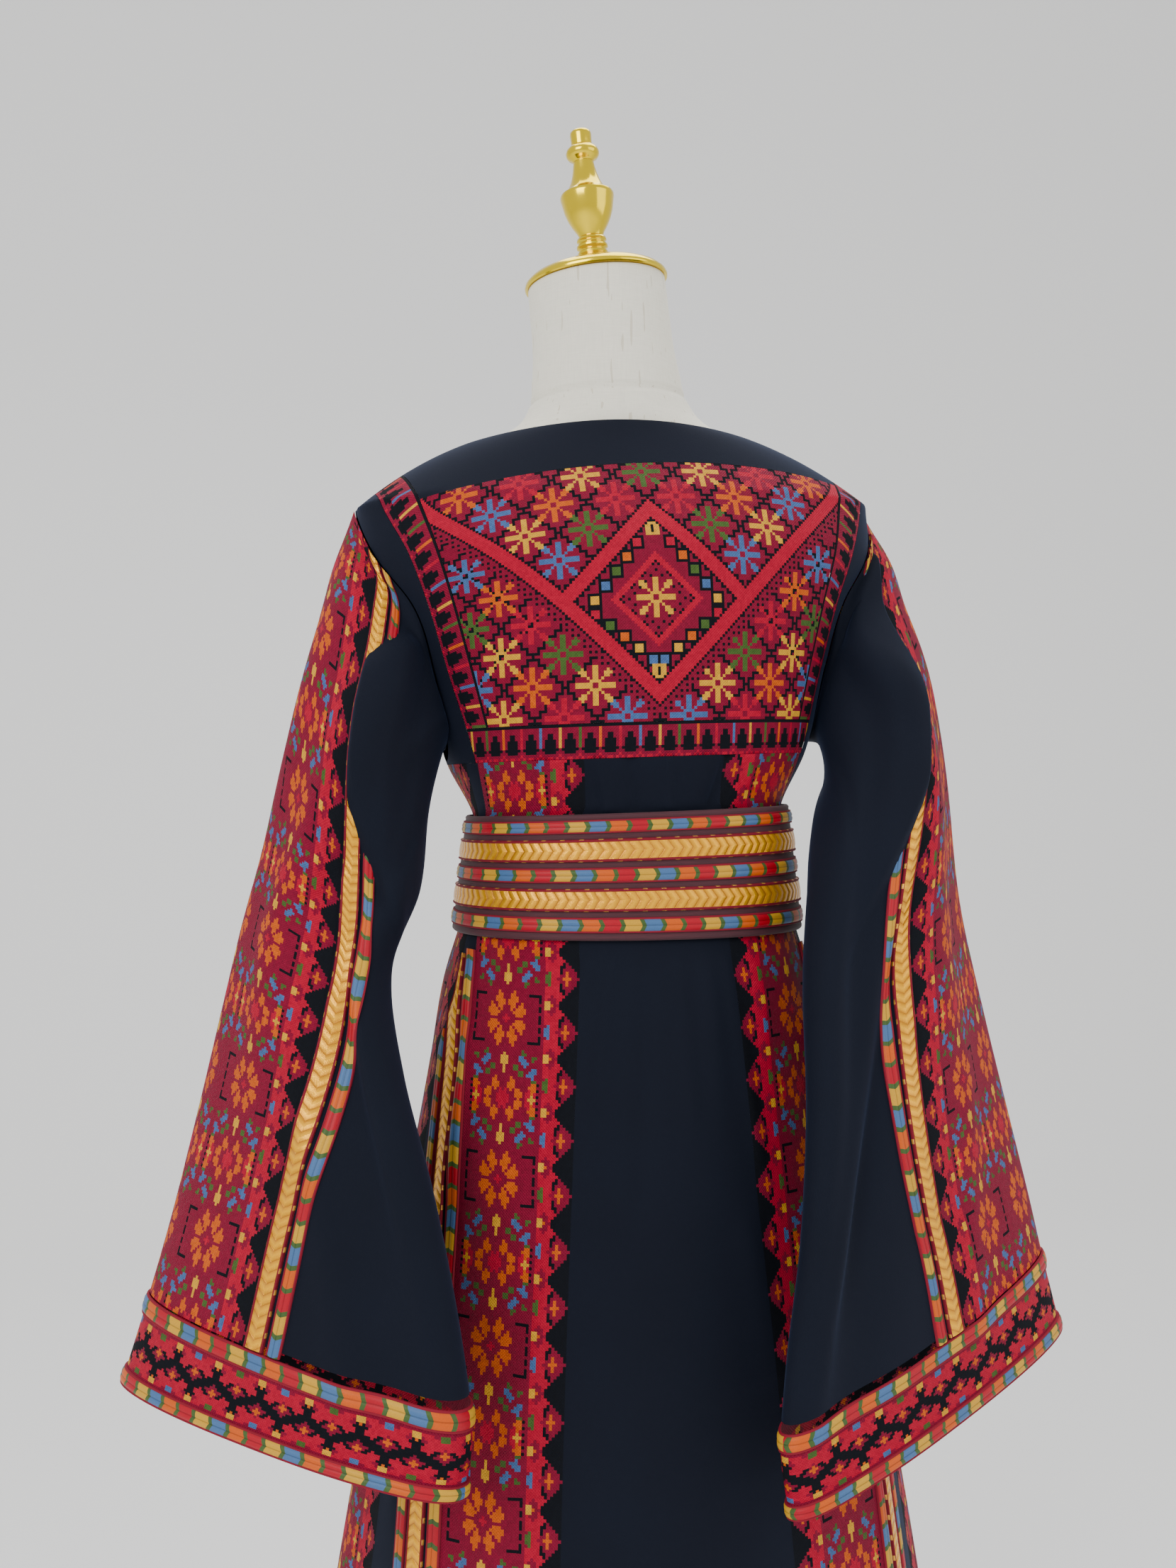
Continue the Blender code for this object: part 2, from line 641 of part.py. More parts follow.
def bodice_pieces():
    gap = SEAM_GAP / 2
    yoke, border, armhole = seam_column(1), seam_column(2), seam_column(3)
    rows = np.linspace(0, 1, 9)
    low_band = YOKE_SEAM + gap
    border_rows = rows_past_yoke(rows, yoke)

    points, normals = bodice_grid(
        lambda u, z: u * (border(z) - gap), np.linspace(-1, 1, 17), low_band,
        lambda x: YOKE_BAND_TOP - gap, np.linspace(0, 1, 3), False,
    )
    wall("yoke_band", points, level_ends(normals, True, True), tatreez())

    points, normals = bodice_grid(
        lambda u, z: u * (yoke(z) - gap), np.linspace(-1, 1, 17), YOKE_BAND_TOP + gap,
        lambda x: YOKE_TOP - gap, rows, False,
    )
    wall("yoke_panel", points, level_ends(normals, True, True), tatreez())

    points, normals = bodice_grid(
        lambda u, z: u * (yoke(z) - gap), np.linspace(-1, 1, 21), YOKE_TOP + gap,
        bodice_top(neckline_back), np.linspace(0, 1, 4), False,
    )
    wall("yoke_top", points, level_ends(normals, True, False), black_crepe())

    for side, sign in (("L", -1), ("R", 1)):
        points, normals = bodice_grid(
            lambda u, z: sign * (yoke(z) + gap + u * (border(z) - yoke(z) - 2 * gap)),
            np.linspace(0, 1, 4), YOKE_BAND_TOP + gap, bodice_top(neckline_back), border_rows, False,
        )
        wall("yoke_border_" + side, points, level_ends(normals, True, False), tatreez())
        points, normals = bodice_grid(
            lambda u, z: sign * (border(z) + 2 * gap + u * (armhole(z) - border(z) - 2 * gap)),
            np.linspace(0, 1, 4), low_band, bodice_top(neckline_back),
            rows_past_band(border_rows, border), False,
        )
        wall("armhole_side_" + side, points, level_ends(normals, True, False), black_crepe())

    across = np.sin(np.linspace(-1, 1, 21) * math.pi / 2)
    points, normals = bodice_grid(
        lambda u, z: u * armhole(z), across, low_band, bodice_top(neckline_front),
        1 - (1 - np.linspace(0, 1, 12)) ** 1.4, True,
    )
    wall("front_bodice", points, level_ends(normals, True, False), black_crepe())


# Sleeves
def armhole_ring(sign, count):
    """The sleeve's first ring: down the back edge of the armhole and up its front edge."""
    tip = ridge_height(SHOULDER_TIP)
    turn = np.linspace(-0.5, 0.5, count)
    height = ARMHOLE_LOW + (tip - ARMHOLE_LOW) * (0.5 + 0.5 * np.cos(2 * math.pi * turn))
    across = table_column(BACK_SEAMS, 3, height)
    back = bodice_depth(across, height, False)
    along = np.where(turn > 0, back, -back) * np.abs(np.sin(2 * math.pi * turn)) ** 0.15
    return np.stack([sign * (across + ARMHOLE_GAP), along, height], axis=-1)


def sleeve_surface(table, sign):
    """Dense rings from the armhole to the cuff edge, started at the outer fold."""
    count = 361
    turn = np.linspace(-0.5, 0.5, count)
    down = np.array(SLEEVE_ROWS)
    outer = np.stack([table_column(table, k, down) for k in (1, 2, 3)], axis=-1)
    inner = np.stack([table_column(table, k, down) for k in (4, 5, 6)], axis=-1)
    thick = table_column(table, 7, down)
    centre = (outer + inner) / 2
    major = (outer - inner) / 2
    along = np.gradient(centre, axis=0)
    minor = np.cross(along, major) * sign
    minor /= np.linalg.norm(minor, axis=-1, keepdims=True)
    minor *= np.where(minor[:, 1:2] > 0, -1, 1)
    c, s = np.cos(2 * math.pi * turn), np.sin(2 * math.pi * turn)
    wide = np.sign(c) * np.abs(c) ** SLEEVE_CURVE
    deep = np.sign(s) * np.abs(s) ** SLEEVE_CURVE
    rings = (
        centre[:, None]
        + major[:, None] * wide[None, :, None]
        + (minor * thick[:, None])[:, None] * deep[None, :, None]
    )
    fold = np.zeros((len(down), count))
    for place, high, width, start, end in SLEEVE_FOLDS:
        on = np.clip((down - start) / 0.2, 0, 1) * np.clip((end - down) / 0.2 + 0.15, 0, 1)
        away = (turn - place + 0.5) % 1 - 0.5
        fold += high * on[:, None] * np.exp(-((away / width) ** 2))[None, :]
    rings += minor[:, None] * (fold * np.sign(s + 1e-9))[..., None]
    first = armhole_ring(sign, count)
    share = np.clip(down / ARMHOLE_BLEND, 0, 1)[:, None, None]
    blend = share * share * (3 - 2 * share)
    drop = rings[SLEEVE_ROWS.index(ARMHOLE_BLEND)] - first
    near = first[None] + drop[None] * share
    rings = near * (1 - blend) + rings * blend
    across = np.roll(rings[:, :-1], -3, axis=1) - np.roll(rings[:, :-1], 3, axis=1)
    normals = np.cross(across, np.gradient(rings, axis=0)[:, :-1]) * -sign
    normals = np.concatenate([normals, normals[:, :1]], axis=1)
    normals /= np.linalg.norm(normals, axis=-1, keepdims=True)
    middle = rings[:, :-1].mean(axis=1)[:, None]
    if ((rings - middle) * normals).sum() < 0:
        normals = -normals
    return rings, normals, ring_lengths(rings, (count - 1) // 2)


def sleeve(side, sign, table):
    surface = sleeve_surface(table, sign)
    gap = SEAM_GAP / 2
    cuff_row = SLEEVE_ROWS.index(1.0)
    rows = list(range(cuff_row + 1))
    whole = surface[2][:, -1] - surface[2][:, 0]
    one = np.ones(len(SLEEVE_ROWS))
    strip_back, strip_front = one * SLEEVE_STRIP_BACK, one * -SLEEVE_STRIP_FRONT
    points, normals = cut(surface, rows, spread(strip_front + gap, strip_back - gap, 6))
    wall("sleeve_strip_" + side, points, normals, tatreez())

    braid_start = SLEEVE_STRIP_BACK + 0.001
    braid_end = braid_start + BRAID_WIDTH
    ribbon_start = braid_end + TRIM_SPACE
    ribbon_end = ribbon_start + RIBBON_WIDTH
    marks = (SLEEVE_STRIP_BACK + gap, braid_start, (braid_start + braid_end) / 2, braid_end,
             ribbon_start, (ribbon_start + ribbon_end) / 2, ribbon_end)
    under = spread(one * ribbon_end, whole - SLEEVE_STRIP_FRONT - gap, 12)[:, 1:]
    columns = np.concatenate([one[:, None] * np.array(marks)[None, :], under], axis=1)
    points, normals = cut(surface_twice(surface), rows, columns)
    wall("sleeve_" + side, points, normals, black_crepe())
    for name, span, rise, material in (
        ("sleeve_braid_", slice(1, 4), BRAID_RISE, gold_braid()),
        ("sleeve_ribbon_", slice(4, 7), RIBBON_RISE, satin_ribbon()),
    ):
        wall(
            name + side, points[:-1, span], normals[:-1, span], material,
            near=TRIM_GAP, rise=padded(3, rise),
        )
    cuff(side, surface, whole, cuff_row)


def surface_twice(surface):
    """A closed tube's rings carried round a second time, so that a panel may pass its end."""
    points, normals, length = surface
    whole = (length[:, -1] - length[:, 0])[:, None]
    return (
        np.concatenate([points, points[:, 1:]], axis=1),
        np.concatenate([normals, normals[:, 1:]], axis=1),
        np.concatenate([length, length[:, 1:] + whole], axis=1),
    )


def cuff(side, surface, whole, cuff_row):
    """The embroidered band round the sleeve's mouth, with a ribbon along each edge."""
    points, normals, length = surface
    count = 24
    rows = list(range(cuff_row, len(SLEEVE_ROWS)))
    places = length[:, :1] + whole[:, None] * (np.arange(count) / count)[None, :]
    points, normals = cut(surface, rows, places[rows])
    along = points[1] - points[0]
    points[0] += along / np.linalg.norm(along, axis=-1, keepdims=True) * CUFF_GAP
    wall("cuff_" + side, points, normals, tatreez(), closed=True)
    for name, low, high in (("cuff_ribbon_upper_", 0, 1), ("cuff_ribbon_lower_", 2, 3)):
        strip = np.stack([points[low], (points[low] + points[high]) / 2, points[high]])
        faced = np.stack([normals[low], (normals[low] + normals[high]) / 2, normals[high]])
        faced /= np.linalg.norm(faced, axis=-1, keepdims=True)
        inner = strip + faced * TRIM_GAP
        outer = inner + faced * padded(3, RIBBON_RISE)[:, None, None]
        wall_between(name + side, outer, inner, satin_ribbon(), True)


# Belt
def belt_ring(height, out, count=30):
    """Points and normals of the stiff belt's straight-sided ring round the waist, moved out."""
    turn = np.radians(np.arange(count) * 360 / count)
    height = np.asarray(height, float)[:, None]
    power = 2 / ROUNDNESS
    rings = np.array(BELT_RINGS)
    wide, back, front = (np.interp(height, rings[:, 0], rings[:, k]) for k in (1, 2, 3))
    across = wide * np.sign(np.sin(turn)) * np.abs(np.sin(turn)) ** power
    deep = np.where(np.cos(turn) > 0, back, front)
    along = -deep * np.sign(np.cos(turn)) * np.abs(np.cos(turn)) ** power
    points = np.stack([across, along, height + 0 * across], axis=-1)
    normals = np.cross(np.roll(points, -1, axis=1) - np.roll(points, 1, axis=1), (0, 0, 1))
    normals /= np.linalg.norm(normals, axis=-1, keepdims=True)
    return points + normals * out, normals


def belt():
    """The wide belt: a cloth band with three ribbons and two gold braids sewn round it."""
    inner, normals = belt_ring(np.linspace(BELT_BOTTOM, BELT_TOP, 3), 0.0)
    wall_between("belt", inner + normals * BELT_THICK, inner, belt_cloth(), True)
    for name, low, high, rise in BELT_BANDS:
        height = np.linspace(BELT_BOTTOM + low, BELT_BOTTOM + high, 3)
        inner, normals = belt_ring(height, BELT_THICK + BAND_GAP)
        outer = inner + normals * padded(3, rise)[:, None, None]
        material = gold_braid() if name.startswith("braid") else satin_ribbon()
        wall_between("belt_" + name, outer, inner, material, True)


# The dress form and its stand
def turned(name, profile, material, foot, sides=TURNED_SIDES, tilt=0.0):
    """A shape turned on a lathe from (radius, height) pairs, lowest first, with solid ends."""
    rings, faces = [], []
    vertices = []
    for radius, height in profile:
        if radius == 0:
            rings.append([len(vertices)])
            vertices.append((0.0, 0.0, height))
            continue
        rings.append(list(range(len(vertices), len(vertices) + sides)))
        for k in range(sides):
            turn = 2 * math.pi * k / sides
            vertices.append((radius * math.cos(turn), radius * math.sin(turn), height))
    for low, high in zip(rings, rings[1:]):
        for k in range(sides):
            n = (k + 1) % sides
            if len(low) == 1:
                faces.append((low[0], high[n], high[k]))
            elif len(high) == 1:
                faces.append((low[k], low[n], high[0]))
            else:
                faces.append((low[k], low[n], high[n], high[k]))
    made = add_object(name, vertices, faces, material)
    made.location = foot
    made.rotation_euler = (0.0, tilt, 0.0)
    return made


def form_torso():
    """The linen-covered torso and neck, closed at the hip and at the top of the neck."""
    sides = 30
    turn = 2 * math.pi * np.arange(sides) / sides
    rows = np.array(FORM_RINGS)
    power = 2 / ROUNDNESS
    vertices, faces = [], []
    for height, wide, back, front in rows:
        neck = np.clip((height - NECK_ROUND_START) / NECK_ROUND_EASE, 0, 1)
        bend = power * (1 - neck) + neck
        across = wide * np.sign(np.sin(turn)) * np.abs(np.sin(turn)) ** bend
        deep = np.where(np.cos(turn) > 0, back, front)
        along = -deep * np.sign(np.cos(turn)) * np.abs(np.cos(turn)) ** bend
        vertices.append(np.stack([across, along, np.full(sides, height)], axis=-1))
    vertices = lean(np.concatenate(vertices))
    for i in range(len(rows) - 1):
        for k in range(sides):
            a, b = i * sides + k, i * sides + (k + 1) % sides
            faces.append((a, b, b + sides, a + sides))
    faces.append(tuple(range(sides))[::-1])
    faces.append(tuple(range((len(rows) - 1) * sides, len(rows) * sides)))
    return add_object("form_torso", vertices, faces, linen())


def leant_place(height):
    return tuple(float(v) for v in lean(np.array([[0.0, 0.0, height]]))[0])


def dress_form():
    form_torso()
    tilt = -math.atan(CAP_TIP)
    top = leant_place(CAP_CENTRE_HEIGHT)
    cap_foot = (top[0], top[1], top[2] + SEAM_GAP)
    turned("form_neck_cap", CAP_PROFILE, gold_metal(), cap_foot, tilt=tilt)
    finial_foot = (
        cap_foot[0] + FINIAL_SEAT * math.sin(tilt), 0.0, cap_foot[2] + FINIAL_SEAT * math.cos(tilt)
    )
    turned("form_finial", FINIAL_PROFILE, gold_metal(), finial_foot, tilt=tilt)
    pole = ((0.0, BASE_HEIGHT + SEAM_GAP), (POLE_RADIUS, BASE_HEIGHT + SEAM_GAP),
            (POLE_RADIUS, POLE_TOP - SEAM_GAP), (0.0, POLE_TOP - SEAM_GAP))
    turned("form_pole", pole, gold_metal(), (0.0, 0.0, 0.0))
    base = ((0.0, 0.0), (BASE_RADIUS, 0.0), (BASE_RADIUS, BASE_HEIGHT - BASE_EDGE),
            (BASE_RADIUS - BASE_EDGE, BASE_HEIGHT), (0.0, BASE_HEIGHT))
    turned("form_base", base, gold_metal(), (0.0, 0.0, 0.0), sides=48)


for old in list(bpy.data.objects):
    bpy.data.objects.remove(old, do_unlink=True)

dress_form()
long_panels(body_surface())
bodice_pieces()
sleeve("L", -1, LEFT_SLEEVE)
sleeve("R", 1, RIGHT_SLEEVE)
belt()
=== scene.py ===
"""The looks of an embroidered black thobe with bell sleeves and a wide belt, on a linen dress form.

The back of the dress faces -Y and its left side, seen from behind, is -X. Every cloth piece lies on
the same smooth body or sleeve as its solid, in finer rows, and is sewn here stitch by stitch.
"""
import math

import bpy
import numpy as np
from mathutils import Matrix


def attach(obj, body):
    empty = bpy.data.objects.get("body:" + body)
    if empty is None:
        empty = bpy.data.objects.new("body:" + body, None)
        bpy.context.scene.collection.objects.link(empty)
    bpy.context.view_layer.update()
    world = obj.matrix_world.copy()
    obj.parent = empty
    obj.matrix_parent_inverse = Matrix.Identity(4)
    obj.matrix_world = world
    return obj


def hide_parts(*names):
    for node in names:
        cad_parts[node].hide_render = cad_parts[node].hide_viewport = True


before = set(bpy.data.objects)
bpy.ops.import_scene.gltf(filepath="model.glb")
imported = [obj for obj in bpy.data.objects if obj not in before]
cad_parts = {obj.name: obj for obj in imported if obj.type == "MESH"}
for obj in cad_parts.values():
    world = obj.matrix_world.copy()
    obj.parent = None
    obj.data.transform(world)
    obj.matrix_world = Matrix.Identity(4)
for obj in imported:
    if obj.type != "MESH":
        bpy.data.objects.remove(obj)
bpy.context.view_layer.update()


# The studio
# A pale paper floor that sweeps up into a wall far beyond the dress, lit by a wide soft lamp on the
# camera's left, a weaker one on its right, one overhead and an even pale sky.
CAMERA_PLACE = (-0.262, -1.172, 1.157)
CAMERA_YAW = 11.0
FOCAL_PIXELS = 2000.0
PHOTO_HEIGHT = 2212.0
SENSOR = 36.0
STUDIO_GREY = (0.93, 0.93, 0.93)
SKY_GREY = (0.89, 0.885, 0.875)

camera_data = bpy.data.cameras.new("view")
camera_data.sensor_fit = "VERTICAL"
camera_data.sensor_height = SENSOR
camera_data.lens = FOCAL_PIXELS / PHOTO_HEIGHT * SENSOR
camera_data.clip_end = 30
camera = bpy.data.objects.new("view", camera_data)
camera.location = CAMERA_PLACE
camera.rotation_euler = (math.pi / 2, 0, -math.radians(CAMERA_YAW))
bpy.context.scene.collection.objects.link(camera)
bpy.context.scene.camera = camera

LAMPS = (
    # name, place, aim, size, watts
    ("key", (-1.9, -2.3, 2.5), (0.0, 0.0, 1.1), 1.8, 66.0),
    ("fill", (2.2, -1.7, 1.9), (0.0, 0.0, 1.0), 2.2, 22.0),
    ("top", (0.2, 0.4, 3.1), (0.0, 0.0, 1.2), 1.6, 32.0),
)


def aimed(place, aim):
    """Euler angles that point a lamp's -Z from its place at its aim."""
    x, y, z = (a - p for a, p in zip(aim, place))
    return (math.atan2(math.hypot(x, y), -z), 0.0, math.atan2(y, x) - math.pi / 2)


for name, place, aim, size, watts in LAMPS:
    lamp = bpy.data.lights.new(name, "AREA")
    lamp.size = size
    lamp.energy = watts
    lamp_object = bpy.data.objects.new(name, lamp)
    lamp_object.location = place
    lamp_object.rotation_euler = aimed(place, aim)
    bpy.context.scene.collection.objects.link(lamp_object)

world = bpy.data.worlds.new("pale sky")
world.use_nodes = True
world.node_tree.nodes["Background"].inputs["Color"].default_value = (*SKY_GREY, 1)
bpy.context.scene.world = world


class Wire:
    """A shader socket that takes part in sums: each operator adds the Math node that does it."""

    def __init__(self, finish, socket):
        self.finish, self.socket = finish, socket

    def maths(self, operation, *others):
        """A Math node's answer for this socket and then any others."""
        values = dict(enumerate((self, *others)))
        return self.finish.node("ShaderNodeMath", {"operation": operation}, values)

    def __add__(self, other):
        return self.maths("ADD", other)

    def __sub__(self, other):
        return self.maths("SUBTRACT", other)

    def __rsub__(self, other):
        return self.finish.node("ShaderNodeMath", {"operation": "SUBTRACT"}, {0: other, 1: self})

    def __mul__(self, other):
        return self.maths("MULTIPLY", other)

    def __truediv__(self, other):
        return self.maths("DIVIDE", other)

    def __pow__(self, other):
        return self.maths("POWER", other)

    def __gt__(self, other):
        return self.maths("GREATER_THAN", other)

    def __lt__(self, other):
        return self.maths("LESS_THAN", other)

    def __abs__(self):
        return self.maths("ABSOLUTE")

    __radd__ = __add__

    def part(self):
        """What is left of a number past its whole part."""
        return self.maths("FRACT")

    def whole(self):
        """A number's whole part."""
        return self.maths("FLOOR")

    def held(self):
        """The number kept between 0 and 1."""
        return self.finish.node("ShaderNodeClamp", {}, {"Value": self})

    def wave(self):
        """The sine of an angle in radians."""
        return self.maths("SINE")

    def most(self, other):
        """The greater of two numbers."""
        return self.maths("MAXIMUM", other)


class Finish:
    """A material whose surface is worked out from Python expressions on its shader sockets."""

    def __init__(self, name, **sockets):
        self.material = bpy.data.materials.new(name)
        self.material.use_nodes = True
        self.tree = self.material.node_tree
        self.shader = self.tree.nodes["Principled BSDF"]
        titles = (key.replace("_", " ").title().replace("Ior", "IOR") for key in sockets)
        self.put(**dict(zip(titles, sockets.values())))

    def node(self, kind, settings, inputs, output=0):
        """Any node, from its type, its settings and the values or wires of its sockets."""
        made = self.tree.nodes.new(kind)
        for key, value in settings.items():
            if key == "stops":
                ramp = made.color_ramp
                while len(ramp.elements) < len(value):
                    ramp.elements.new(1.0)
                for element, (place, colour) in zip(ramp.elements, value):
                    element.position, element.color = place, (*colour, 1.0)
            elif key == "interpolation":
                made.color_ramp.interpolation = value
            else:
                setattr(made, key, value)
        for key, value in inputs.items():
            self.feed(made.inputs[key], value)
        return Wire(self, made.outputs[output])

    def feed(self, socket, value):
        """Links a wire to a socket or sets the socket's value; three numbers are an opaque colour."""
        if isinstance(value, Wire):
            self.tree.links.new(value.socket, socket)
        elif isinstance(value, tuple) and len(value) == 3 and socket.type == "RGBA":
            socket.default_value = (*value, 1.0)
        else:
            socket.default_value = value

    def put(self, **sockets):
        """Feeds sockets of the surface shader, by the names that they have there."""
        for name, value in sockets.items():
            self.feed(self.shader.inputs[name], value)

    def mix(self, share, low, high):
        """A colour that goes from low to high as the share goes from 0 to 1."""
        return self.node("ShaderNodeMix", {"data_type": "RGBA"}, {0: share, 6: low, 7: high}, 2)

    def noise(self, place, scale, detail=2.0):
        """Smooth noise at a place times a scale, with a number of finer layers."""
        inputs = {"Vector": place, "Scale": scale, "Detail": detail}
        return self.node("ShaderNodeTexNoise", {}, inputs)

    def object_place(self):
        """The place on the piece, in metres."""
        return self.node("ShaderNodeTexCoord", {}, {}, "Object")

    def stretched(self, place, scale):
        """The place times one number for each axis."""
        inputs = {"Vector": place, "Scale": scale}
        return self.node("ShaderNodeMapping", {}, inputs)

    def map_place(self):
        """The two numbers of the piece's own map."""
        place = self.node("ShaderNodeUVMap", {"uv_map": "map"}, {})
        split = self.node("ShaderNodeSeparateXYZ", {}, {0: place})
        return split, Wire(self, split.socket.node.outputs[1])

    def bump(self, height, strength, distance):
        """Tips the surface's normals by the slope of a height."""
        inputs = {"Height": height, "Strength": strength, "Distance": distance}
        self.put(Normal=self.node("ShaderNodeBump", {}, inputs))


def studio_sweep():
    """The floor carried back, round a quarter circle and up: a profile drawn out to each side."""
    reach, radius, high, back = 8.0, 1.2, 6.0, 3.6
    turn = np.linspace(0, np.pi / 2, 24)
    y = np.concatenate([[-reach], back - radius + radius * np.sin(turn), [back]])
    z = np.concatenate([[0.0], radius - radius * np.cos(turn), [high]])
    x = np.array([-reach, reach])
    points = np.stack(np.broadcast_arrays(x[:, None], y[None], z[None]), -1)
    size = len(y)
    k = np.arange(size - 1)
    faces = np.stack([k, k + 1, k + 1 + size, k + size], -1)[:, ::-1]
    mesh = bpy.data.meshes.new("studio_sweep")
    mesh.from_pydata(points.reshape(-1, 3).tolist(), [], faces.tolist())
    mesh.shade_smooth()
    sweep = bpy.data.objects.new("studio_sweep", mesh)
    bpy.context.scene.collection.objects.link(sweep)
    wall = Finish("studio paper", base_color=STUDIO_GREY, roughness=0.9)
    mesh.materials.append(wall.material)


studio_sweep()


# The dress form
# A padded torso in an off-white linen cover, closed with a seam round the neck and one down the
# middle of the back, under a gold-coloured metal cap and turned finial. It stands on a metal pole.
ROUNDNESS = 2.2
WAIST = 1.09
LEAN = 0.114
LEAN_START = 1.035
LEAN_EASE = 0.10
BELT_TIP = 0.034
CAP_TIP = 0.108
NECK_BACK = 1.447
CAP_HEIGHT = 1.5768
FORM_RINGS = (
    # height, half_width, back, front
    (0.800, 0.100, 0.078, 0.078),
    (0.804, 0.130, 0.096, 0.096),
    (0.930, 0.152, 0.112, 0.112),
    (1.000, 0.141, 0.104, 0.102),
    (1.045, 0.1325, 0.0965, 0.0935),
    (1.090, 0.1268, 0.0935, 0.0895),
    (1.130, 0.1238, 0.0925, 0.0885),
    (1.178, 0.133, 0.101, 0.104),
    (1.250, 0.152, 0.112, 0.121),
    (1.300, 0.166, 0.1165, 0.125),
    (1.342, 0.178, 0.1130, 0.116),
    (1.375, 0.184, 0.1000, 0.094),
    (1.395, 0.181, 0.0890, 0.083),
    (1.412, 0.166, 0.0800, 0.0676),
    (1.425, 0.146, 0.0740, 0.0614),
    (1.436, 0.121, 0.0685, 0.0596),
    (1.447, 0.096, 0.0645, 0.060),
    (1.457, 0.080, 0.0625, 0.061),
    (1.472, 0.0685, 0.0605, 0.061),
    (1.500, 0.0620, 0.0590, 0.059),
    (1.5765, 0.0575, 0.0570, 0.057),
)
CAP_PROFILE = (
    # radius, height above the neck
    (0.0, 0.0), (0.0592, 0.0), (0.0602, 0.0008), (0.0604, 0.0022), (0.0596, 0.0042),
    (0.0560, 0.0075), (0.0500, 0.0103), (0.0430, 0.0125), (0.0360, 0.0143), (0.0280, 0.0155),
    (0.0140, 0.0167), (0.0, 0.0170),
)
FINIAL_PROFILE = (
    # radius, height above the cap
    (0.0, 0.0035), (0.0150, 0.0035), (0.0160, 0.0048), (0.0156, 0.0066), (0.0128, 0.0088),
    (0.0119, 0.0100), (0.0130, 0.0118), (0.0127, 0.0136), (0.0108, 0.0150), (0.0112, 0.0160),
    (0.0131, 0.0176), (0.0131, 0.0192), (0.0110, 0.0212), (0.0112, 0.0222), (0.0126, 0.0236),
    (0.0122, 0.0252), (0.0100, 0.0270), (0.0112, 0.0300), (0.0150, 0.0360), (0.0180, 0.0418),
    (0.0203, 0.0480), (0.0215, 0.0540), (0.0226, 0.0590), (0.0226, 0.0612), (0.0218, 0.0628),
    (0.0176, 0.0646), (0.0150, 0.0680), (0.0125, 0.0730), (0.0107, 0.0785), (0.0095, 0.0840),
    (0.0085, 0.0900), (0.0096, 0.0913), (0.0124, 0.0930), (0.0138, 0.0952), (0.0140, 0.0975),
    (0.0132, 0.0998), (0.0110, 0.1020), (0.0088, 0.1035), (0.0087, 0.1060), (0.0090, 0.1125),
    (0.0086, 0.1145), (0.0073, 0.1157), (0.0, 0.1160),
)
FINIAL_SEAT = 0.0138
POLE_RADIUS, POLE_FOOT, POLE_TOP = 0.0125, 0.0143, 0.7994
BASE_RADIUS, BASE_HEIGHT, BASE_EDGE = 0.155, 0.014, 0.004
CAP_GAP = 0.0003
TURNED_SIDES, LEAST_RADIUS, METAL_EDGE_DEGREES = 96, 0.00002, 38
FOOT_INSET, FOOT_HEIGHT = 0.018, 0.004
NECK_ROUND_START, NECK_ROUND_SPAN = 1.43, 0.04
NECK_SEAM, NECK_SEAM_DEPTH, NECK_SEAM_WIDTH = 1.478, 0.0020, 0.0016
BACK_SEAM_DEPTH, BACK_SEAM_TURN, BACK_SEAM_FADE = 0.0016, 0.022, 0.003


def read_table(table, column, place):
    """One column of a table, read smoothly at a place in the first: a cubic through each pair of
    rows whose slopes are those of the neighbours' chord."""
    rows = np.array(table)
    x, y = rows[:, 0], rows[:, column]
    slope = np.gradient(y, x)
    place = np.clip(np.asarray(place, float), x[0], x[-1])
    k = np.clip(np.searchsorted(x, place, side="right") - 1, 0, len(x) - 2)
    step = x[k + 1] - x[k]
    t = (place - x[k]) / step
    chord = y[k] * (1 + 2 * t) * (1 - t) ** 2 + y[k + 1] * t * t * (3 - 2 * t)
    return chord + step * (slope[k] * t * (1 - t) ** 2 - slope[k + 1] * t * t * (1 - t))


def eased(value):
    """0 to 1 with a level start and end: 3 t squared less 2 t cubed."""
    t = np.clip(value, 0, 1)
    return t * t * (3 - 2 * t)


def lean(points):
    """The body's sideways lean over the waist, and the tip of its belt, yoke and neck lines."""
    rise = np.maximum(points[..., 2] - WAIST, 0)
    neck = np.clip((points[..., 2] - NECK_BACK) / (CAP_HEIGHT - NECK_BACK), 0, 1)
    tip = BELT_TIP * eased((points[..., 2] - LEAN_START) / LEAN_EASE) + (CAP_TIP - BELT_TIP) * neck
    leant = points.copy()
    leant[..., 2] += tip * points[..., 0]
    leant[..., 0] -= LEAN * rise * rise
    return leant


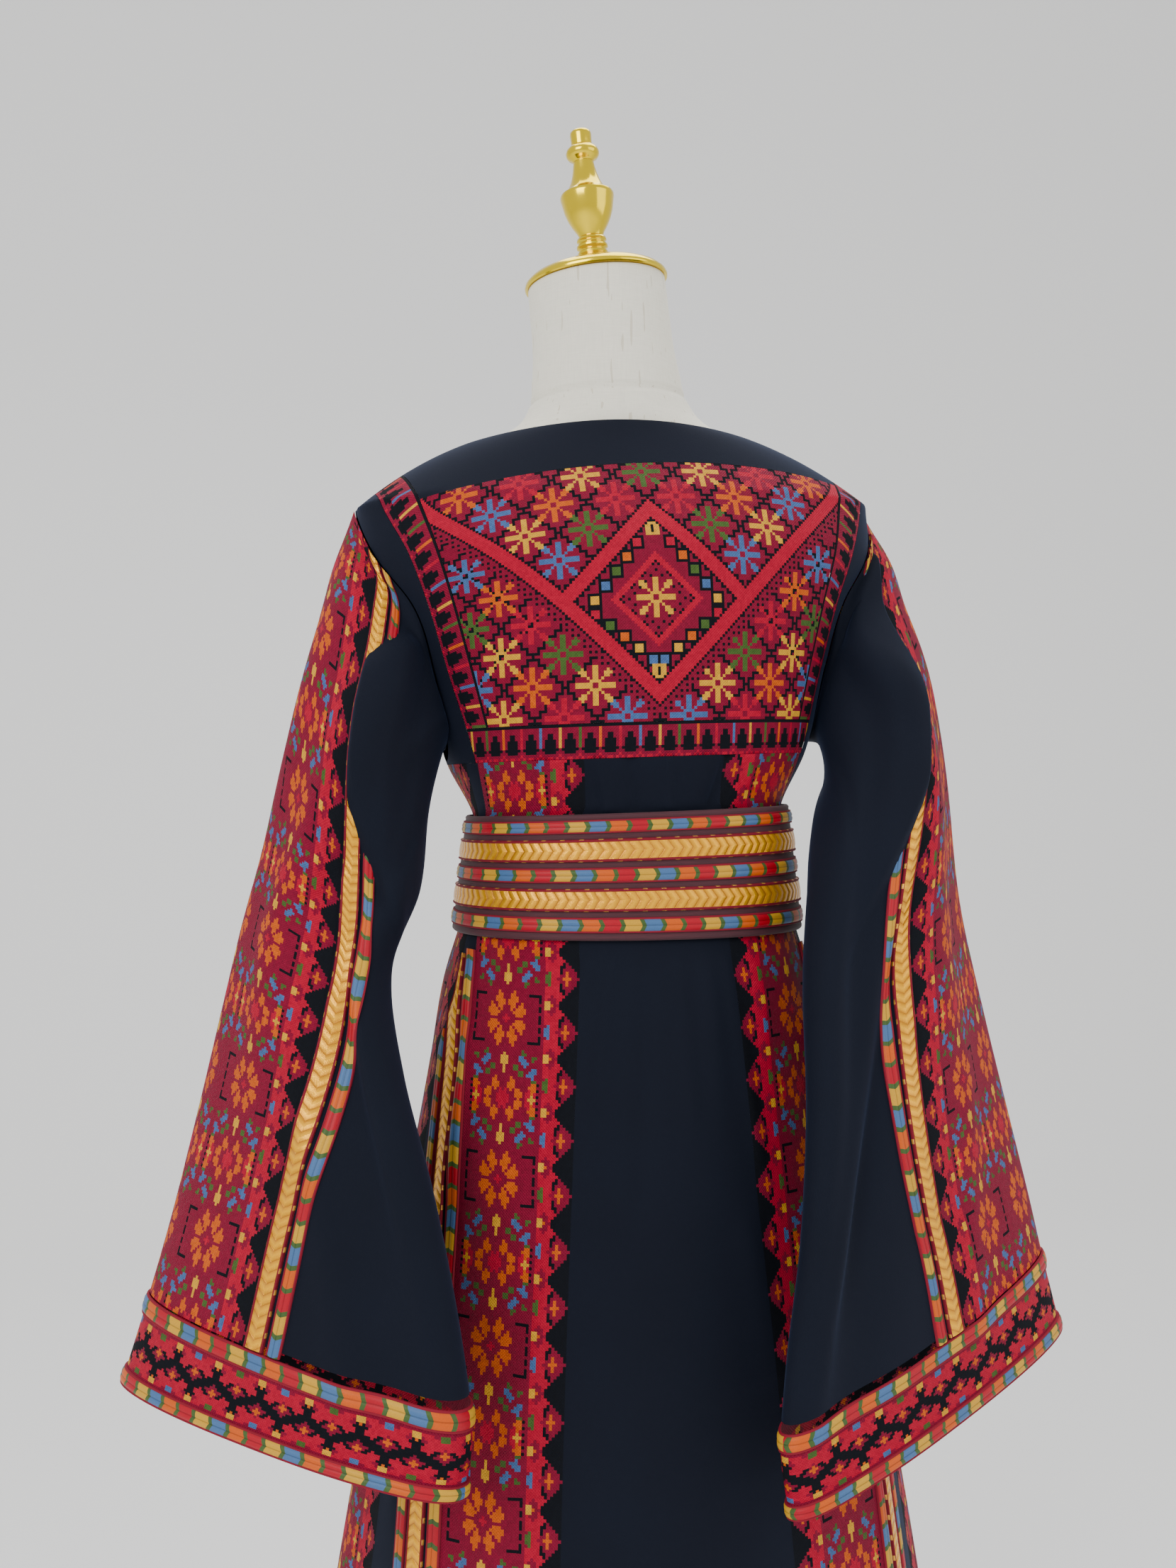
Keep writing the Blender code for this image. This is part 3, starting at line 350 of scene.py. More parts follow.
def add_piece(name, points, finish, wrap=False, replaces=(), maps=None, colours=None,
              keep=None, worked=None, caps=False, flip=False):
    """A grid of points made into a mesh of quads, with its map and colours, riding on the frame.

    wrap joins the last column to the first, caps closes the two end rows, and keep says which
    quads are made. maps has two numbers a corner of each quad, colours one colour a quad.
    """
    rows, columns = points.shape[:2]
    across = columns if wrap else columns - 1
    i, j = np.meshgrid(np.arange(rows - 1), np.arange(across), indexing="ij")
    n = (j + 1) % columns
    quads = np.stack([i * columns + j, i * columns + n, (i + 1) * columns + n, (i + 1) * columns + j], -1)
    if flip:
        quads = quads[..., ::-1]
    kept = np.ones(quads.shape[:2], bool) if keep is None else keep
    quads = quads[kept]
    title = name + "_cloth" if name in replaces else name
    mesh = bpy.data.meshes.new(title)
    ends = [] if not caps else [
        list(range(columns))[:: 1 if flip else -1],
        list(range((rows - 1) * columns, rows * columns))[:: -1 if flip else 1],
    ]
    mesh.from_pydata(points.reshape(-1, 3), [], quads.tolist() + ends)
    mesh.shade_smooth()
    if maps is not None:
        corner = np.stack([maps[:-1, :-1], maps[:-1, 1:], maps[1:, 1:], maps[1:, :-1]], 2)
        if flip:
            corner = corner[:, :, ::-1]
        layer = mesh.uv_layers.new(name="map")
        layer.data.foreach_set("uv", corner[kept].astype(np.float32).ravel())
    if colours is not None:
        layer = mesh.color_attributes.new("thread", "FLOAT_COLOR", "CORNER")
        shade = np.concatenate([colours, worked[..., None]], -1)[kept]
        layer.data.foreach_set("color", np.repeat(shade, 4, axis=0).astype(np.float32).ravel())
    mesh.materials.append(finish.material)
    piece = bpy.data.objects.new(title, mesh)
    bpy.context.scene.collection.objects.link(piece)
    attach(piece, "root")
    if replaces:
        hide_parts(*replaces)
    return piece


def linen_cover():
    """Plain-woven off-white linen: crossed threads, long slubs both ways and faint stains."""
    linen = Finish("linen cover", roughness=0.88, sheen_weight=0.15)
    place = linen.object_place()
    slub_up = linen.noise(linen.stretched(place, (900, 900, 60)), 1.0, 3.0)
    slub_round = linen.noise(linen.stretched(place, (80, 80, 1100)), 1.0, 3.0)
    patch = linen.noise(place, 14.0, 3.0)
    mark = linen.noise(linen.stretched(place, (260, 260, 30)), 1.0, 1.0) > 0.70
    weave = slub_up * 0.5 + slub_round * 0.5
    colour = linen.mix(weave, (0.62, 0.59, 0.48), (0.92, 0.885, 0.76))
    colour = linen.mix(patch * 0.4, colour, (0.84, 0.82, 0.72))
    colour = linen.mix(mark * 0.55, colour, (0.50, 0.44, 0.32))
    linen.put(**{"Base Color": colour})
    linen.bump(weave, 0.35, 0.0006)
    return linen


def gold_metal():
    """Bright gold-coloured plating with the slight waviness of a polished casting."""
    gold = Finish("gold metal", base_color=(0.82, 0.60, 0.020), metallic=1.0)
    place = gold.object_place()
    smear = gold.noise(place, 55.0, 2.0)
    gold.put(Roughness=smear * 0.16 + 0.09)
    gold.bump(gold.noise(place, 90.0, 1.0), 0.05, 0.001)
    return gold


def superellipse(turn, wide, back, front, bend):
    """Places across and along: the sine and cosine raised to a power, their signs kept."""
    deep = np.where(np.cos(turn) > 0, back, front)
    across = wide * np.sign(np.sin(turn)) * np.abs(np.sin(turn)) ** bend
    return across, -deep * np.sign(np.cos(turn)) * np.abs(np.cos(turn)) ** bend


def form_surface():
    """Rings of the torso and neck: superellipses that turn into ellipses up the neck."""
    turn = np.radians(np.arange(144) * 2.5)[None, :]
    height = np.array([0.8, 0.8004, 0.802, 0.804] + list(np.arange(0.82, 1.40, 0.02))
                      + list(np.arange(1.40, 1.5765, 0.003)) + [1.5765])[:, None]
    low = FORM_RINGS[1][0]
    wide, back, front = (read_table(FORM_RINGS[1:], k, np.maximum(height, low)) for k in (1, 2, 3))
    foot = np.where(height < low, FOOT_INSET * (low - height) / FOOT_HEIGHT, 0.0)
    neck = np.clip((height - NECK_ROUND_START) / NECK_ROUND_SPAN, 0, 1)
    bend = 2 / ROUNDNESS * (1 - neck) + neck
    seam = NECK_SEAM_DEPTH * np.exp(-(((height - NECK_SEAM) / NECK_SEAM_WIDTH) ** 2))
    middle = np.minimum(turn, 2 * np.pi - turn)
    below = np.clip((NECK_SEAM - height) / BACK_SEAM_FADE, 0, 1)
    seam = seam + BACK_SEAM_DEPTH * below * np.exp(-((middle / BACK_SEAM_TURN) ** 2))
    wide, back, front = (reach - foot - seam for reach in (wide, back, front))
    across, along = superellipse(turn, wide, back, front, bend)
    return lean(np.stack(np.broadcast_arrays(across, along, height), -1))


def turned_shape(profile, foot, tilt):
    """A profile of (radius, height) pairs carried round an upright axis, then tipped about -Y."""
    radius, up = np.array(profile).T
    turn = np.arange(TURNED_SIDES) * 2 * np.pi / TURNED_SIDES
    x, y = (np.maximum(radius, LEAST_RADIUS)[:, None] * way for way in (np.cos(turn), np.sin(turn)))
    z = np.broadcast_to(up[:, None], x.shape)
    c, s = math.cos(tilt), math.sin(tilt)
    return np.stack([x * c + z * s, y, z * c - x * s], -1) + np.array(foot)


linen = linen_cover()
gold = gold_metal()
add_piece("torso_cover", form_surface(), linen, wrap=True, caps=True, replaces=["form_torso"])

tilt = -math.atan(CAP_TIP)
cap_foot = lean(np.array([[0.0, 0.0, CAP_HEIGHT]]))[0] + (0, 0, CAP_GAP)
finial_foot = cap_foot + FINIAL_SEAT * np.array([math.sin(tilt), 0, math.cos(tilt)])
POLE_PROFILE = ((0, POLE_FOOT), (POLE_RADIUS, POLE_FOOT), (POLE_RADIUS, POLE_TOP), (0, POLE_TOP))
BASE_PROFILE = ((0, 0), (BASE_RADIUS, 0), (BASE_RADIUS, BASE_HEIGHT - BASE_EDGE),
                (BASE_RADIUS - BASE_EDGE, BASE_HEIGHT), (0, BASE_HEIGHT))
METAL_PIECES = (
    # name, node, profile, foot, tilt
    ("neck_cap", "form_neck_cap", CAP_PROFILE, cap_foot, tilt),
    ("finial", "form_finial", FINIAL_PROFILE, finial_foot, tilt),
    ("stand_pole", "form_pole", POLE_PROFILE, (0, 0, 0), 0),
    ("stand_base", "form_base", BASE_PROFILE, (0, 0, 0), 0),
)
for name, node, profile, foot, tip in METAL_PIECES:
    metal = add_piece(name, turned_shape(profile, foot, tip), gold, wrap=True,
                      replaces=[node])
    metal.data.set_sharp_from_angle(angle=math.radians(METAL_EDGE_DEGREES))


# The skirt and back: the long panels from the yoke seam to the hem
# Black wool crepe panels with wide strips of counted cross-stitch between them, cut long and sewn
# edge to edge, held in by the belt and falling in soft folds. The bodice reads the same tables.
HEM, YOKE_SEAM = 0.045, 1.178
STITCH = 0.0022
BODY = (
    # height, half_width, back, front
    (0.045, 0.300, 0.262, 0.270),
    (0.300, 0.268, 0.228, 0.235),
    (0.550, 0.233, 0.190, 0.190),
    (0.750, 0.199, 0.155, 0.155),
    (0.930, 0.166, 0.127, 0.127),
    (1.000, 0.154, 0.115, 0.113),
    (1.045, 0.1405, 0.103, 0.100),
    (1.090, 0.1315, 0.098, 0.094),
    (1.130, 0.1290, 0.0975, 0.0935),
    (1.178, 0.151, 0.112, 0.118),
    (1.250, 0.171, 0.119, 0.128),
    (1.300, 0.190, 0.122, 0.130),
    (1.342, 0.214, 0.119, 0.122),
    (1.387, 0.2175, 0.104, 0.104),
)
SHOULDER_DEPTH = (
    # height, back, front
    (1.387, 0.104, 0.104),
    (1.408, 0.092, 0.092),
    (1.430, 0.080, 0.082),
    (1.450, 0.070, 0.078),
)
LONG_SEAMS = (
    # height, back_panel, gore_width, front_strip_end
    (0.045, 0.112, 0.150, 0.455),
    (0.580, 0.089, 0.078, 0.345),
    (0.940, 0.067, 0.050, 0.286),
    (0.990, 0.064, 0.024, 0.262),
    (1.045, 0.060, 0.015, 0.248),
    (1.130, 0.057, 0.015, 0.236),
    (1.178, 0.060, 0.015, 0.245),
)
STRIP_WIDTH, STRIP_COUNT, STRIP_FIRST_ROW, STRIP_FIRST_COLUMN = 0.093, 42, -9, 26
HALF_ROUND = 360
RING_RISE = 0.002
HEM_THICK = 0.0012
RIDGE_TOP, RIDGE_FALL, RIDGE_START = 1.45, 2.54, 0.06
SHOULDER_TIP = 0.2175
BELT_BOTTOM, BELT_TOP = 1.0365, 1.1355
FOLD_GROWTH = 1.3
PLEAT_FADE, PLEAT_LOW, PLEAT_SPAN, PLEAT_UNDER = 0.022, 0.88, 0.10, 0.7
CREASE_FOOT, CREASE_HEAD = 0.25, 0.08
SKIRT_FOLDS = (
    # degrees, depth, width_degrees, top
    (-168, 0.016, 11, 0.95),
    (-141, 0.020, 10, 0.98),
    (-112, 0.022, 9, 0.99),
    (-86, 0.024, 8, 0.99),
    (-52, 0.014, 10, 0.85),
    (-20, 0.010, 9, 0.70),
    (13, 0.011, 9, 0.75),
    (47, 0.016, 10, 0.88),
    (83, 0.024, 8, 0.99),
    (108, 0.022, 9, 0.99),
    (137, 0.020, 10, 0.97),
    (172, 0.016, 11, 0.95),
)
BACK_PLEATS = (
    # degrees, depth, width_degrees
    (-33, 0.0035, 3.6),
    (13, 0.0040, 3.6),
    (31, 0.0030, 3.6),
)
SOFT_CREASES = (
    # low_degrees, high_degrees, low, high, width_degrees, depth
    (-27, -19, 0.86, 1.03, 2.6, 0.0022),
    (-17, -12, 0.90, 1.03, 2.0, 0.0018),
    (-6, -3, 0.80, 1.03, 2.4, -0.0016),
    (6, 5, 0.88, 1.03, 2.0, 0.0014),
    (24, 19, 0.84, 1.03, 2.4, 0.0020),
    (-40, -22, 0.52, 0.86, 4.0, 0.0030),
    (30, 17, 0.50, 0.84, 4.0, 0.0028),
    (-14, -16, 1.13, 1.178, 2.0, 0.0040),
    (4, 2, 1.13, 1.178, 1.8, 0.0034),
    (-6, -7, 1.13, 1.178, 1.8, -0.0026),
    (18, 20, 1.13, 1.178, 1.8, -0.0030),
    (62, 50, 0.60, 0.98, 3.0, 0.0030),
    (-66, -58, 0.58, 0.98, 3.0, 0.0032),
    (120, 128, 0.50, 0.98, 3.4, 0.0030),
    (152, 146, 0.55, 1.02, 3.0, 0.0028),
    (-124, -130, 0.52, 0.98, 3.4, 0.0030),
    (-156, -150, 0.60, 1.02, 3.0, 0.0028),
    (178, 176, 0.70, 1.03, 3.0, -0.0022),
)
STRIP_FIELD = (
    # rows run from the middle of a rosette to the middle of the cross between two rosettes
    "RR..........." "K",
    "R...OOO......" "K",
    "...OOOOO....." ".",
    "..O.OOOO....." "K",
    "..OO.OO......" "K",
    ".OOO..O......" ".",
    ".OOOO........" "K",
    "..OOO........" "K",
    "..OO.....KKKK" "K",
    "...O........." ".",
    "............." ".",
    ".......G....." ".",
    "Y......GG...." ".",
    "YY....BB...GG" ".",
    "YY....BBB..G." ".",
    "YY.....BBB..." ".",
    "Y...GG..B...." ".",
    "Y...GG.....BB" ".",
    "Y.....GG..BBB" ".",
    "......GG.BBB." ".",
    "...O.......B." ".",
    "...OO......GG" ".",
    "..OOO......OO" "K",
    "..OOO.....OOO" ".",
    ".R.O.OO...ROO" "K",
    "RR...OOO.RROR" ".",
    "RRR..OOO.RRYR" "K",
    "RRR...O..RYYY" ".",
)
SCALLOP = (
    # rows run from the middle of a scallop to the valley, columns from the field out to the tip
    ".ccRR..OOO...",
    ".ccRRR..O...K",
    "..cRRRK.O...K",
    ".RRRRRK....KK",
    ".RRRRRKK..KKK",
    ".RRRRRRK.KKKK",
    ".RR.RRRRKKKKK",
    ".R...RRKKKKKK",
    ".YY..RKKKKKKK",
    ".YYO..KKKKKKK",
)
SCALLOP_REPEAT, FIELD_REPEAT, SCALLOP_SHIFT = 18, 54, 4
THREADS = {
    ".": (0.190, 0.0014, 0.0230),
    "R": (0.385, 0.0010, 0.0240),
    "O": (0.530, 0.0880, 0.0035),
    "Y": (0.590, 0.2950, 0.0180),
    "B": (0.052, 0.1120, 0.2700),
    "G": (0.050, 0.1000, 0.0180),
    "K": (0.0025, 0.0033, 0.0060),
}


def crepe_cloth():
    """Matt black crepe: a fine pebbled surface with a faint bluish lift at its folds."""
    crepe = Finish("black crepe", roughness=0.85, sheen_weight=0.10, sheen_roughness=0.4)
    crepe.put(**{"Sheen Tint": (0.24, 0.38, 0.85), "Specular IOR Level": 0.18})
    place = crepe.object_place()
    pebble = crepe.noise(place, 1500.0, 2.0)
    patch = crepe.noise(place, 9.0, 2.0)
    crepe.put(**{"Base Color": crepe.mix(patch, (0.0016, 0.0028, 0.0080), (0.0032, 0.0054, 0.0140))})
    crepe.bump(pebble, 0.30, 0.0004)
    return crepe


def tatreez_cloth():
    """Cross-stitch in dull cotton thread: each stitch two crossed threads with painted light on them and
    painted shade between them, its colour from the piece's thread attribute and its place from the map;
    unworked squares show black crepe."""
    sewn = Finish("tatreez cloth", specular_ior_level=0.14)
    thread = sewn.node("ShaderNodeAttribute", {"attribute_name": "thread"}, {})
    worked = Wire(sewn, thread.socket.node.outputs["Alpha"])
    along, across = sewn.map_place()
    rising = abs(along.part() - across.part())
    falling = abs(along.part() + across.part() - 1)
    upper = (1 - rising * 2.6).held()
    lower = (1 - falling * 2.6).held() * 0.8
    cross = upper.most(lower)
    cell = sewn.node("ShaderNodeCombineXYZ", {}, {0: along.whole(), 1: across.whole()})
    chance = sewn.node("ShaderNodeTexWhiteNoise", {"noise_dimensions": "2D"}, {"Vector": cell})
    twist = sewn.noise(sewn.object_place(), 2600.0, 2.0)
    # painted light and shade: the colour is lighter along the crossed threads and darker between them, with
    # random tone per stitch and along the thread
    painted_light_and_tone = 0.62 + cross * 0.40 + chance * 0.22 + twist * 0.20
    shaded = sewn.node("ShaderNodeVectorMath", {"operation": "SCALE"}, {0: thread, "Scale": painted_light_and_tone})
    sewn.put(**{"Base Color": shaded, "Roughness": 0.86 - worked * 0.26})
    sewn.bump(cross * worked + twist * 0.25, 0.55, 0.0011)
    return sewn


def half_width(height):
    """Half the body's width, which above the shoulder tips follows the sloping ridge."""
    over = RIDGE_START + np.sqrt(np.maximum(RIDGE_TOP - height, 0) / RIDGE_FALL)
    tip = RIDGE_TOP - RIDGE_FALL * (SHOULDER_TIP - RIDGE_START) ** 2
    return np.where(height > tip, over, read_table(BODY, 1, height))


def body_depth(height, front):
    """Depth of the body to its back (False) or its front (True)."""
    column = 3 if front else 2
    high = read_table(SHOULDER_DEPTH, column - 1, height)
    return np.where(height > SHOULDER_DEPTH[0][0], high, read_table(BODY, column, height))


def fold_height(angle, height):
    """The skirt's folds, growing from their tops to the hem, the pleats at the belt and creases."""
    total = np.zeros(np.broadcast(angle, height).shape)
    turned = (angle + 180) % 360 - 180
    for place, deep, width, top in SKIRT_FOLDS:
        away = (angle - place + 180) % 360 - 180
        grown = np.clip((top - height) / (top - HEM), 0, 1) ** FOLD_GROWTH
        total += deep * grown * (np.exp(-((away / width) ** 2)) - width * math.sqrt(math.pi) / 360)
    above = np.clip((height - BELT_TOP) / PLEAT_FADE, 0, 1)
    under = np.clip((BELT_BOTTOM - height) / PLEAT_FADE, 0, 1)
    under = under * np.clip((height - PLEAT_LOW) / PLEAT_SPAN, 0, 1)
    for place, deep, width in BACK_PLEATS:
        pinched = np.maximum(above, PLEAT_UNDER * under)
        total += deep * pinched * np.exp(-(((turned - place) / width) ** 2))
    for low_place, high_place, low, high, width, deep in SOFT_CREASES:
        share = (height - low) / (high - low)
        place = low_place + (high_place - low_place) * share
        head = (1 - share) / CREASE_HEAD if high < BELT_TOP else 1 + 0 * share
        on = eased(share / CREASE_FOOT) * eased(head) * (share <= 1)
        total += deep * on * np.exp(-(((turned - place + 180) % 360 - 180) / width) ** 2)
    return total


def unit(vectors):
    """Vectors divided by their lengths."""
    return vectors / np.linalg.norm(vectors, axis=-1, keepdims=True)


def lengths_round(rings):
    """Lengths from each ring's first point to its others, one straight step after another."""
    steps = np.linalg.norm(np.diff(rings, axis=1), axis=-1)
    return np.concatenate([np.zeros((len(rings), 1)), np.cumsum(steps, axis=1)], axis=1)


def body_rings(height):
    """Rings round the skirt and back at each height: points, outward normals and length round.

    Each is a superellipse of power 2.2 pushed out by the folds, and goes twice round.
    """
    angle = (np.arange(4 * HALF_ROUND + 1) - HALF_ROUND)[None, :] * 180 / HALF_ROUND
    height = np.asarray(height, float)[:, None]

    def ring(height):
        """The folded superellipse at a height."""
        back, front = body_depth(height, False), body_depth(height, True)
        across, along = superellipse(np.radians(angle), half_width(height), back, front, 2 / ROUNDNESS)
        out = 1 + fold_height(angle, height) / np.hypot(across, along)
        return np.stack([across * out, along * out, height + 0 * across], -1)

    points = ring(height)
    normals = np.cross(np.gradient(points, axis=1), ring(height + RING_RISE) - points)
    normals[:, 0] = normals[:, 2 * HALF_ROUND]
    length = lengths_round(points)
    return points, unit(normals), length - length[:, HALF_ROUND : HALF_ROUND + 1]


def cut_panel(rings, columns):
    """Points and normals where each row's columns lie, given as lengths round."""
    points, normals, length = rings
    found = [
        [[np.interp(columns[i], length[i], source[i, :, k]) for k in range(3)] for i in range(len(points))]
        for source in (points, normals)
    ]
    points, normals = (np.array(each).transpose(0, 2, 1) for each in found)
    return points, unit(normals)


def with_hem(points, normals, row, at_end=False):
    """Adds a turned edge: the first (or last) row again on the inner face, and a row behind it."""
    inner = points - normals * HEM_THICK
    if at_end:
        return np.concatenate([points, inner[-1:], inner[-1 - row : -row]])
    return np.concatenate([inner[row : row + 1], inner[:1], points])


def strip_chart(rows, columns, repeated=False):
    """Letters of the wide strip at a row, and a column counted from its rosettes' axis outwards.

    Beyond the field's inner edge it is plain ground, or where repeated the field comes again.
    """
    field = np.array([list(row) for row in STRIP_FIELD])
    scallop = np.array([list(row) for row in SCALLOP])
    down = rows % FIELD_REPEAT
    down = np.minimum(down, FIELD_REPEAT - down)
    beyond = rows - SCALLOP_SHIFT + SCALLOP_REPEAT // 2
    in_scallop = np.abs(beyond % SCALLOP_REPEAT - SCALLOP_REPEAT // 2)
    edge = field.shape[1]
    near = np.abs(columns)
    again = np.minimum(near % (2 * edge), 2 * edge - near % (2 * edge))
    inner = field[down, np.minimum(again if repeated else near, edge - 1)]
    inner = np.where((near >= edge) & (inner == "K"), ".", inner)
    outer = scallop[in_scallop, np.clip(columns - edge, 0, scallop.shape[1] - 1)]
    ground = (columns <= -edge) & (not repeated)
    letters = np.where(columns >= edge, outer, np.where(ground, ".", inner))
    bud = np.where(beyond // SCALLOP_REPEAT % 2 == 0, "B", "G")
    return np.where(letters == "c", bud, letters)


def sewn_colours(letters):
    """Thread colours and a worked mark, 0 on black, for an array of letters."""
    colours = np.zeros(letters.shape + (3,))
    for letter, colour in THREADS.items():
        colours[letters == letter] = colour
    return colours, (letters != "K").astype(float)


def stitch_map(rows, columns):
    """The map of a stitched piece: one unit a stitch, along and across."""
    across, along = np.meshgrid(np.arange(columns + 1.0), np.arange(rows + 1.0))
    return np.stack([across, along], -1)


def sew_stitches(name, points, letters, keep=None, flip=False, plain_rows=0):
    """A worked piece: points a stitch apart and a letter for each stitch; the last rows stay plain."""
    colours, worked = sewn_colours(letters)
    worked[len(worked) - plain_rows :] = 0
    return add_piece(name, lean(points), tatreez, replaces=[name], colours=colours,
                     worked=worked, maps=stitch_map(*letters.shape), keep=keep, flip=flip)


def hang_crepe(name, points, flip=False):
    """A plain black piece."""
    return add_piece(name, lean(points), crepe, replaces=[name], flip=flip)


def declare(piece, seams):
    """Works out the area of a cloth piece's cut from the mean of its widths and its length as flat, and keeps
    nothing of it.
    """
    widths, length = seams
    area = float(np.mean(widths)) * length


crepe = crepe_cloth()
tatreez = tatreez_cloth()

stitched_rows = np.linspace(HEM, YOKE_SEAM, round((YOKE_SEAM - HEM) / STITCH) + 1)
stitched_rings = body_rings(stitched_rows)
plain_rows = np.concatenate([np.arange(HEM, 1.0, 0.009), np.arange(1.0, YOKE_SEAM, 0.004), [YOKE_SEAM]])
plain_rings = body_rings(plain_rows)


def long_seams(height):
    """Lengths round of the four seams at each height, from the middle of the back outwards."""
    panel = read_table(LONG_SEAMS, 1, height)
    strip = panel + STRIP_WIDTH
    table = np.array(LONG_SEAMS)
    gore = strip + np.interp(height, table[:, 0], table[:, 2])
    return panel, strip, gore, read_table(LONG_SEAMS, 3, height)


def shared(left, right, count):
    """Rows of a count of places spaced evenly from left to right."""
    share = np.linspace(0, 1, count)[None, :]
    return left[:, None] * (1 - share) + right[:, None] * share


def plain_panel(name, left, right, count, flip=False):
    """A black panel between two seams, its hem turned under."""
    points, normals = cut_panel(plain_rings, shared(left, right, count))
    piece = hang_crepe(name, with_hem(points, normals, 2), flip)
    declare(piece, (np.abs(right - left), YOKE_SEAM - HEM))


def stitched_strip(name, inner, outer, sign):
    """A worked strip, its columns counted on from the first towards its far seam."""
    points, _ = cut_panel(stitched_rings, shared(sign * inner, sign * outer, STRIP_COUNT + 1))
    row, column = np.indices((len(points) - 1, STRIP_COUNT))
    letters = strip_chart(STRIP_FIRST_ROW - row, STRIP_FIRST_COLUMN - column)
    piece = sew_stitches(name, points, letters, flip=sign < 0)
    declare(piece, (outer - inner, YOKE_SEAM - HEM))


SIDES = (("L", -1), ("R", 1))
panel, strip, gore, front = long_seams(plain_rows)
plain_panel("back_panel", -panel, panel, 37)
half_round = plain_rings[2][:, 2 * HALF_ROUND] - plain_rings[2][:, HALF_ROUND]
other_half = plain_rings[2][:, 3 * HALF_ROUND] - plain_rings[2][:, 2 * HALF_ROUND]
plain_panel("front_panel", front, half_round + other_half - front, 61)
for side, sign in SIDES:
    plain_panel("side_gore_" + side, sign * strip, sign * gore, 21, sign < 0)
panel, strip, gore, front = long_seams(stitched_rows)
for side, sign in SIDES:
    stitched_strip("back_strip_" + side, panel, strip, sign)
    stitched_strip("side_front_strip_" + side, gore, front, sign)


# The bodice back: yoke, borders, shoulder band and armhole sides, with the plain front
# A panel of diamonds and eight-pointed stars worked over the whole ground, edged by teeth of coloured
# bars on three sides, under a plain black band that rises to the neck and the shoulder seams.
YOKE_BAND_TOP, YOKE_TOP = 1.205, 1.408
NECK_SIDE, NECK_FRONT = 0.14, 1.375
SEAM_HALF = 0.00015
BACK_SEAMS = (
    # height, yoke_edge, border_edge, armhole
    (1.178, 0.118, 0.1345, 0.1519),
    (1.190, 0.122, 0.1375, 0.1530),
    (1.250, 0.137, 0.1545, 0.1630),
    (1.304, 0.150, 0.1690, 0.1790),
    (1.342, 0.160, 0.1820, 0.2046),
    (1.387, 0.172, 0.2000, 0.2175),
    (1.413, 0.180, 0.2040, 0.2175),
)
DIAMOND_MIDDLE = 1.297
DIAMOND_REACH = 33
STAR_HALF_CELL = 11
# the diamond's rings and tip blocks, in stitches from its middle
OUTER_DOTS, RED_RING, BROKEN_RING, INNER_DOTS, TIP_BLOCK = 28, (14, 16), 13, 10, 25
# a star's place in each lattice, in stitches across and down from the diamond's middle
UPPER_LATTICE, LOWER_LATTICE = (33, -15), (11, -3)
LEAST_STITCH, CURVED_SHARE = 0.00005, 1.08
YOKE_DROP_START, YOKE_DROP_SPAN = 1.25, 0.15
YOKE_HALF, YOKE_SAG, YOKE_TILT = 0.18, 0.018, 0.009
BORDER_ROWS, BORDER_COUNT = 112, 11
STAR = (
    # a quarter of a star, from its middle down and outwards
    ".######",
    "##.....",
    "#.#....",
    "#..##..",
    "#..###.",
    "#...##.",
    "#......",
)
UPPER_STARS = (
    # steps out, steps up from the meeting of the bands, thread
    (0, 0, "B"), (-1, 1, "G"), (1, 1, "Y"), (-2, 2, "R"), (0, 2, "O"), (2, 2, "B"),
    (-3, 3, "G"), (-1, 3, "Y"), (1, 3, "R"), (3, 3, "O"),
)
LOWER_STARS = (
    # steps out from the middle, steps down, thread
    (1, 4, "B"), (2, 3, "Y"), (3, 2, "G"), (4, 1, "R"), (5, 0, "O"), (6, -1, "B"),
    (3, 4, "R"), (4, 3, "O"), (5, 2, "Y"), (6, 1, "G"), (5, 4, "Y"), (6, 3, "B"), (7, 2, "O"),
)
RING_SQUARES = (
    # across, down, thread
    (6, -20, "R"), (10, -15, "O"), (14, -10, "G"), (18, -5, "B"), (22, 0, "Y"),
    (22, 5, "R"), (17, 9, "G"), (12, 13, "O"), (7, 17, "Y"), (2, 21, "B"),
)
TEETH = (
    # rows run from the yoke outwards, c is a bar whose thread changes from one to the next
    "KKKKKKK",
    "c......",
    "c......",
    "c..KK..",
    "c..KK..",
    "c.KKKK.",
    "c.KKKK.",
    "c.KKKK.",
    ".KKKKKK",
    "..KKKK.",
    "R......",
    ".R.RR.R",
)
BAR_THREADS = "YGORB"


def ridge_height(across):
    """Height of the shoulder ridge: its top less a square of the distance past the ridge's start."""
    return RIDGE_TOP - RIDGE_FALL * np.maximum(np.abs(across) - RIDGE_START, 0) ** 2


def bodice_point(across, height, front):
    """Points of the bodice: the rounded section's depth under a place across, at a height."""
    share = 1 - np.minimum(np.abs(across) / half_width(height), 1) ** ROUNDNESS
    deep = body_depth(height, front) * share ** (1 / ROUNDNESS)
    along = deep + SEAM_HALF if front else -deep - SEAM_HALF
    return np.stack(np.broadcast_arrays(across, along, height), -1)


def lengths_along(line):
    """Lengths from a line's first point to each of its points."""
    return lengths_round(line[None])[0]


def bodice_columns(across_at, shares, low, high, rows, front, dropped=False):
    """Columns up the bodice with rows evenly spaced along the cloth, up to a seam or neckline."""
    grid = []
    for share in shares:
        foot = low - yoke_drop(across_at(share, np.float64(low))) if dropped else low
        top = high(across_at(share, np.float64(low)))
        for _ in range(30):
            top = 0.5 * top + 0.5 * high(across_at(share, top))
        height = foot + (top - foot) * (1 - (1 - np.linspace(0, 1, 400)) ** 2)
        line = bodice_point(across_at(share, height), height, front)
        length = lengths_along(line)
        reach = np.linspace(0, 1, rows) * length[-1]
        grid.append(np.stack([np.interp(reach, length, line[:, k]) for k in range(3)], -1))
    return np.array(grid).transpose(1, 0, 2)


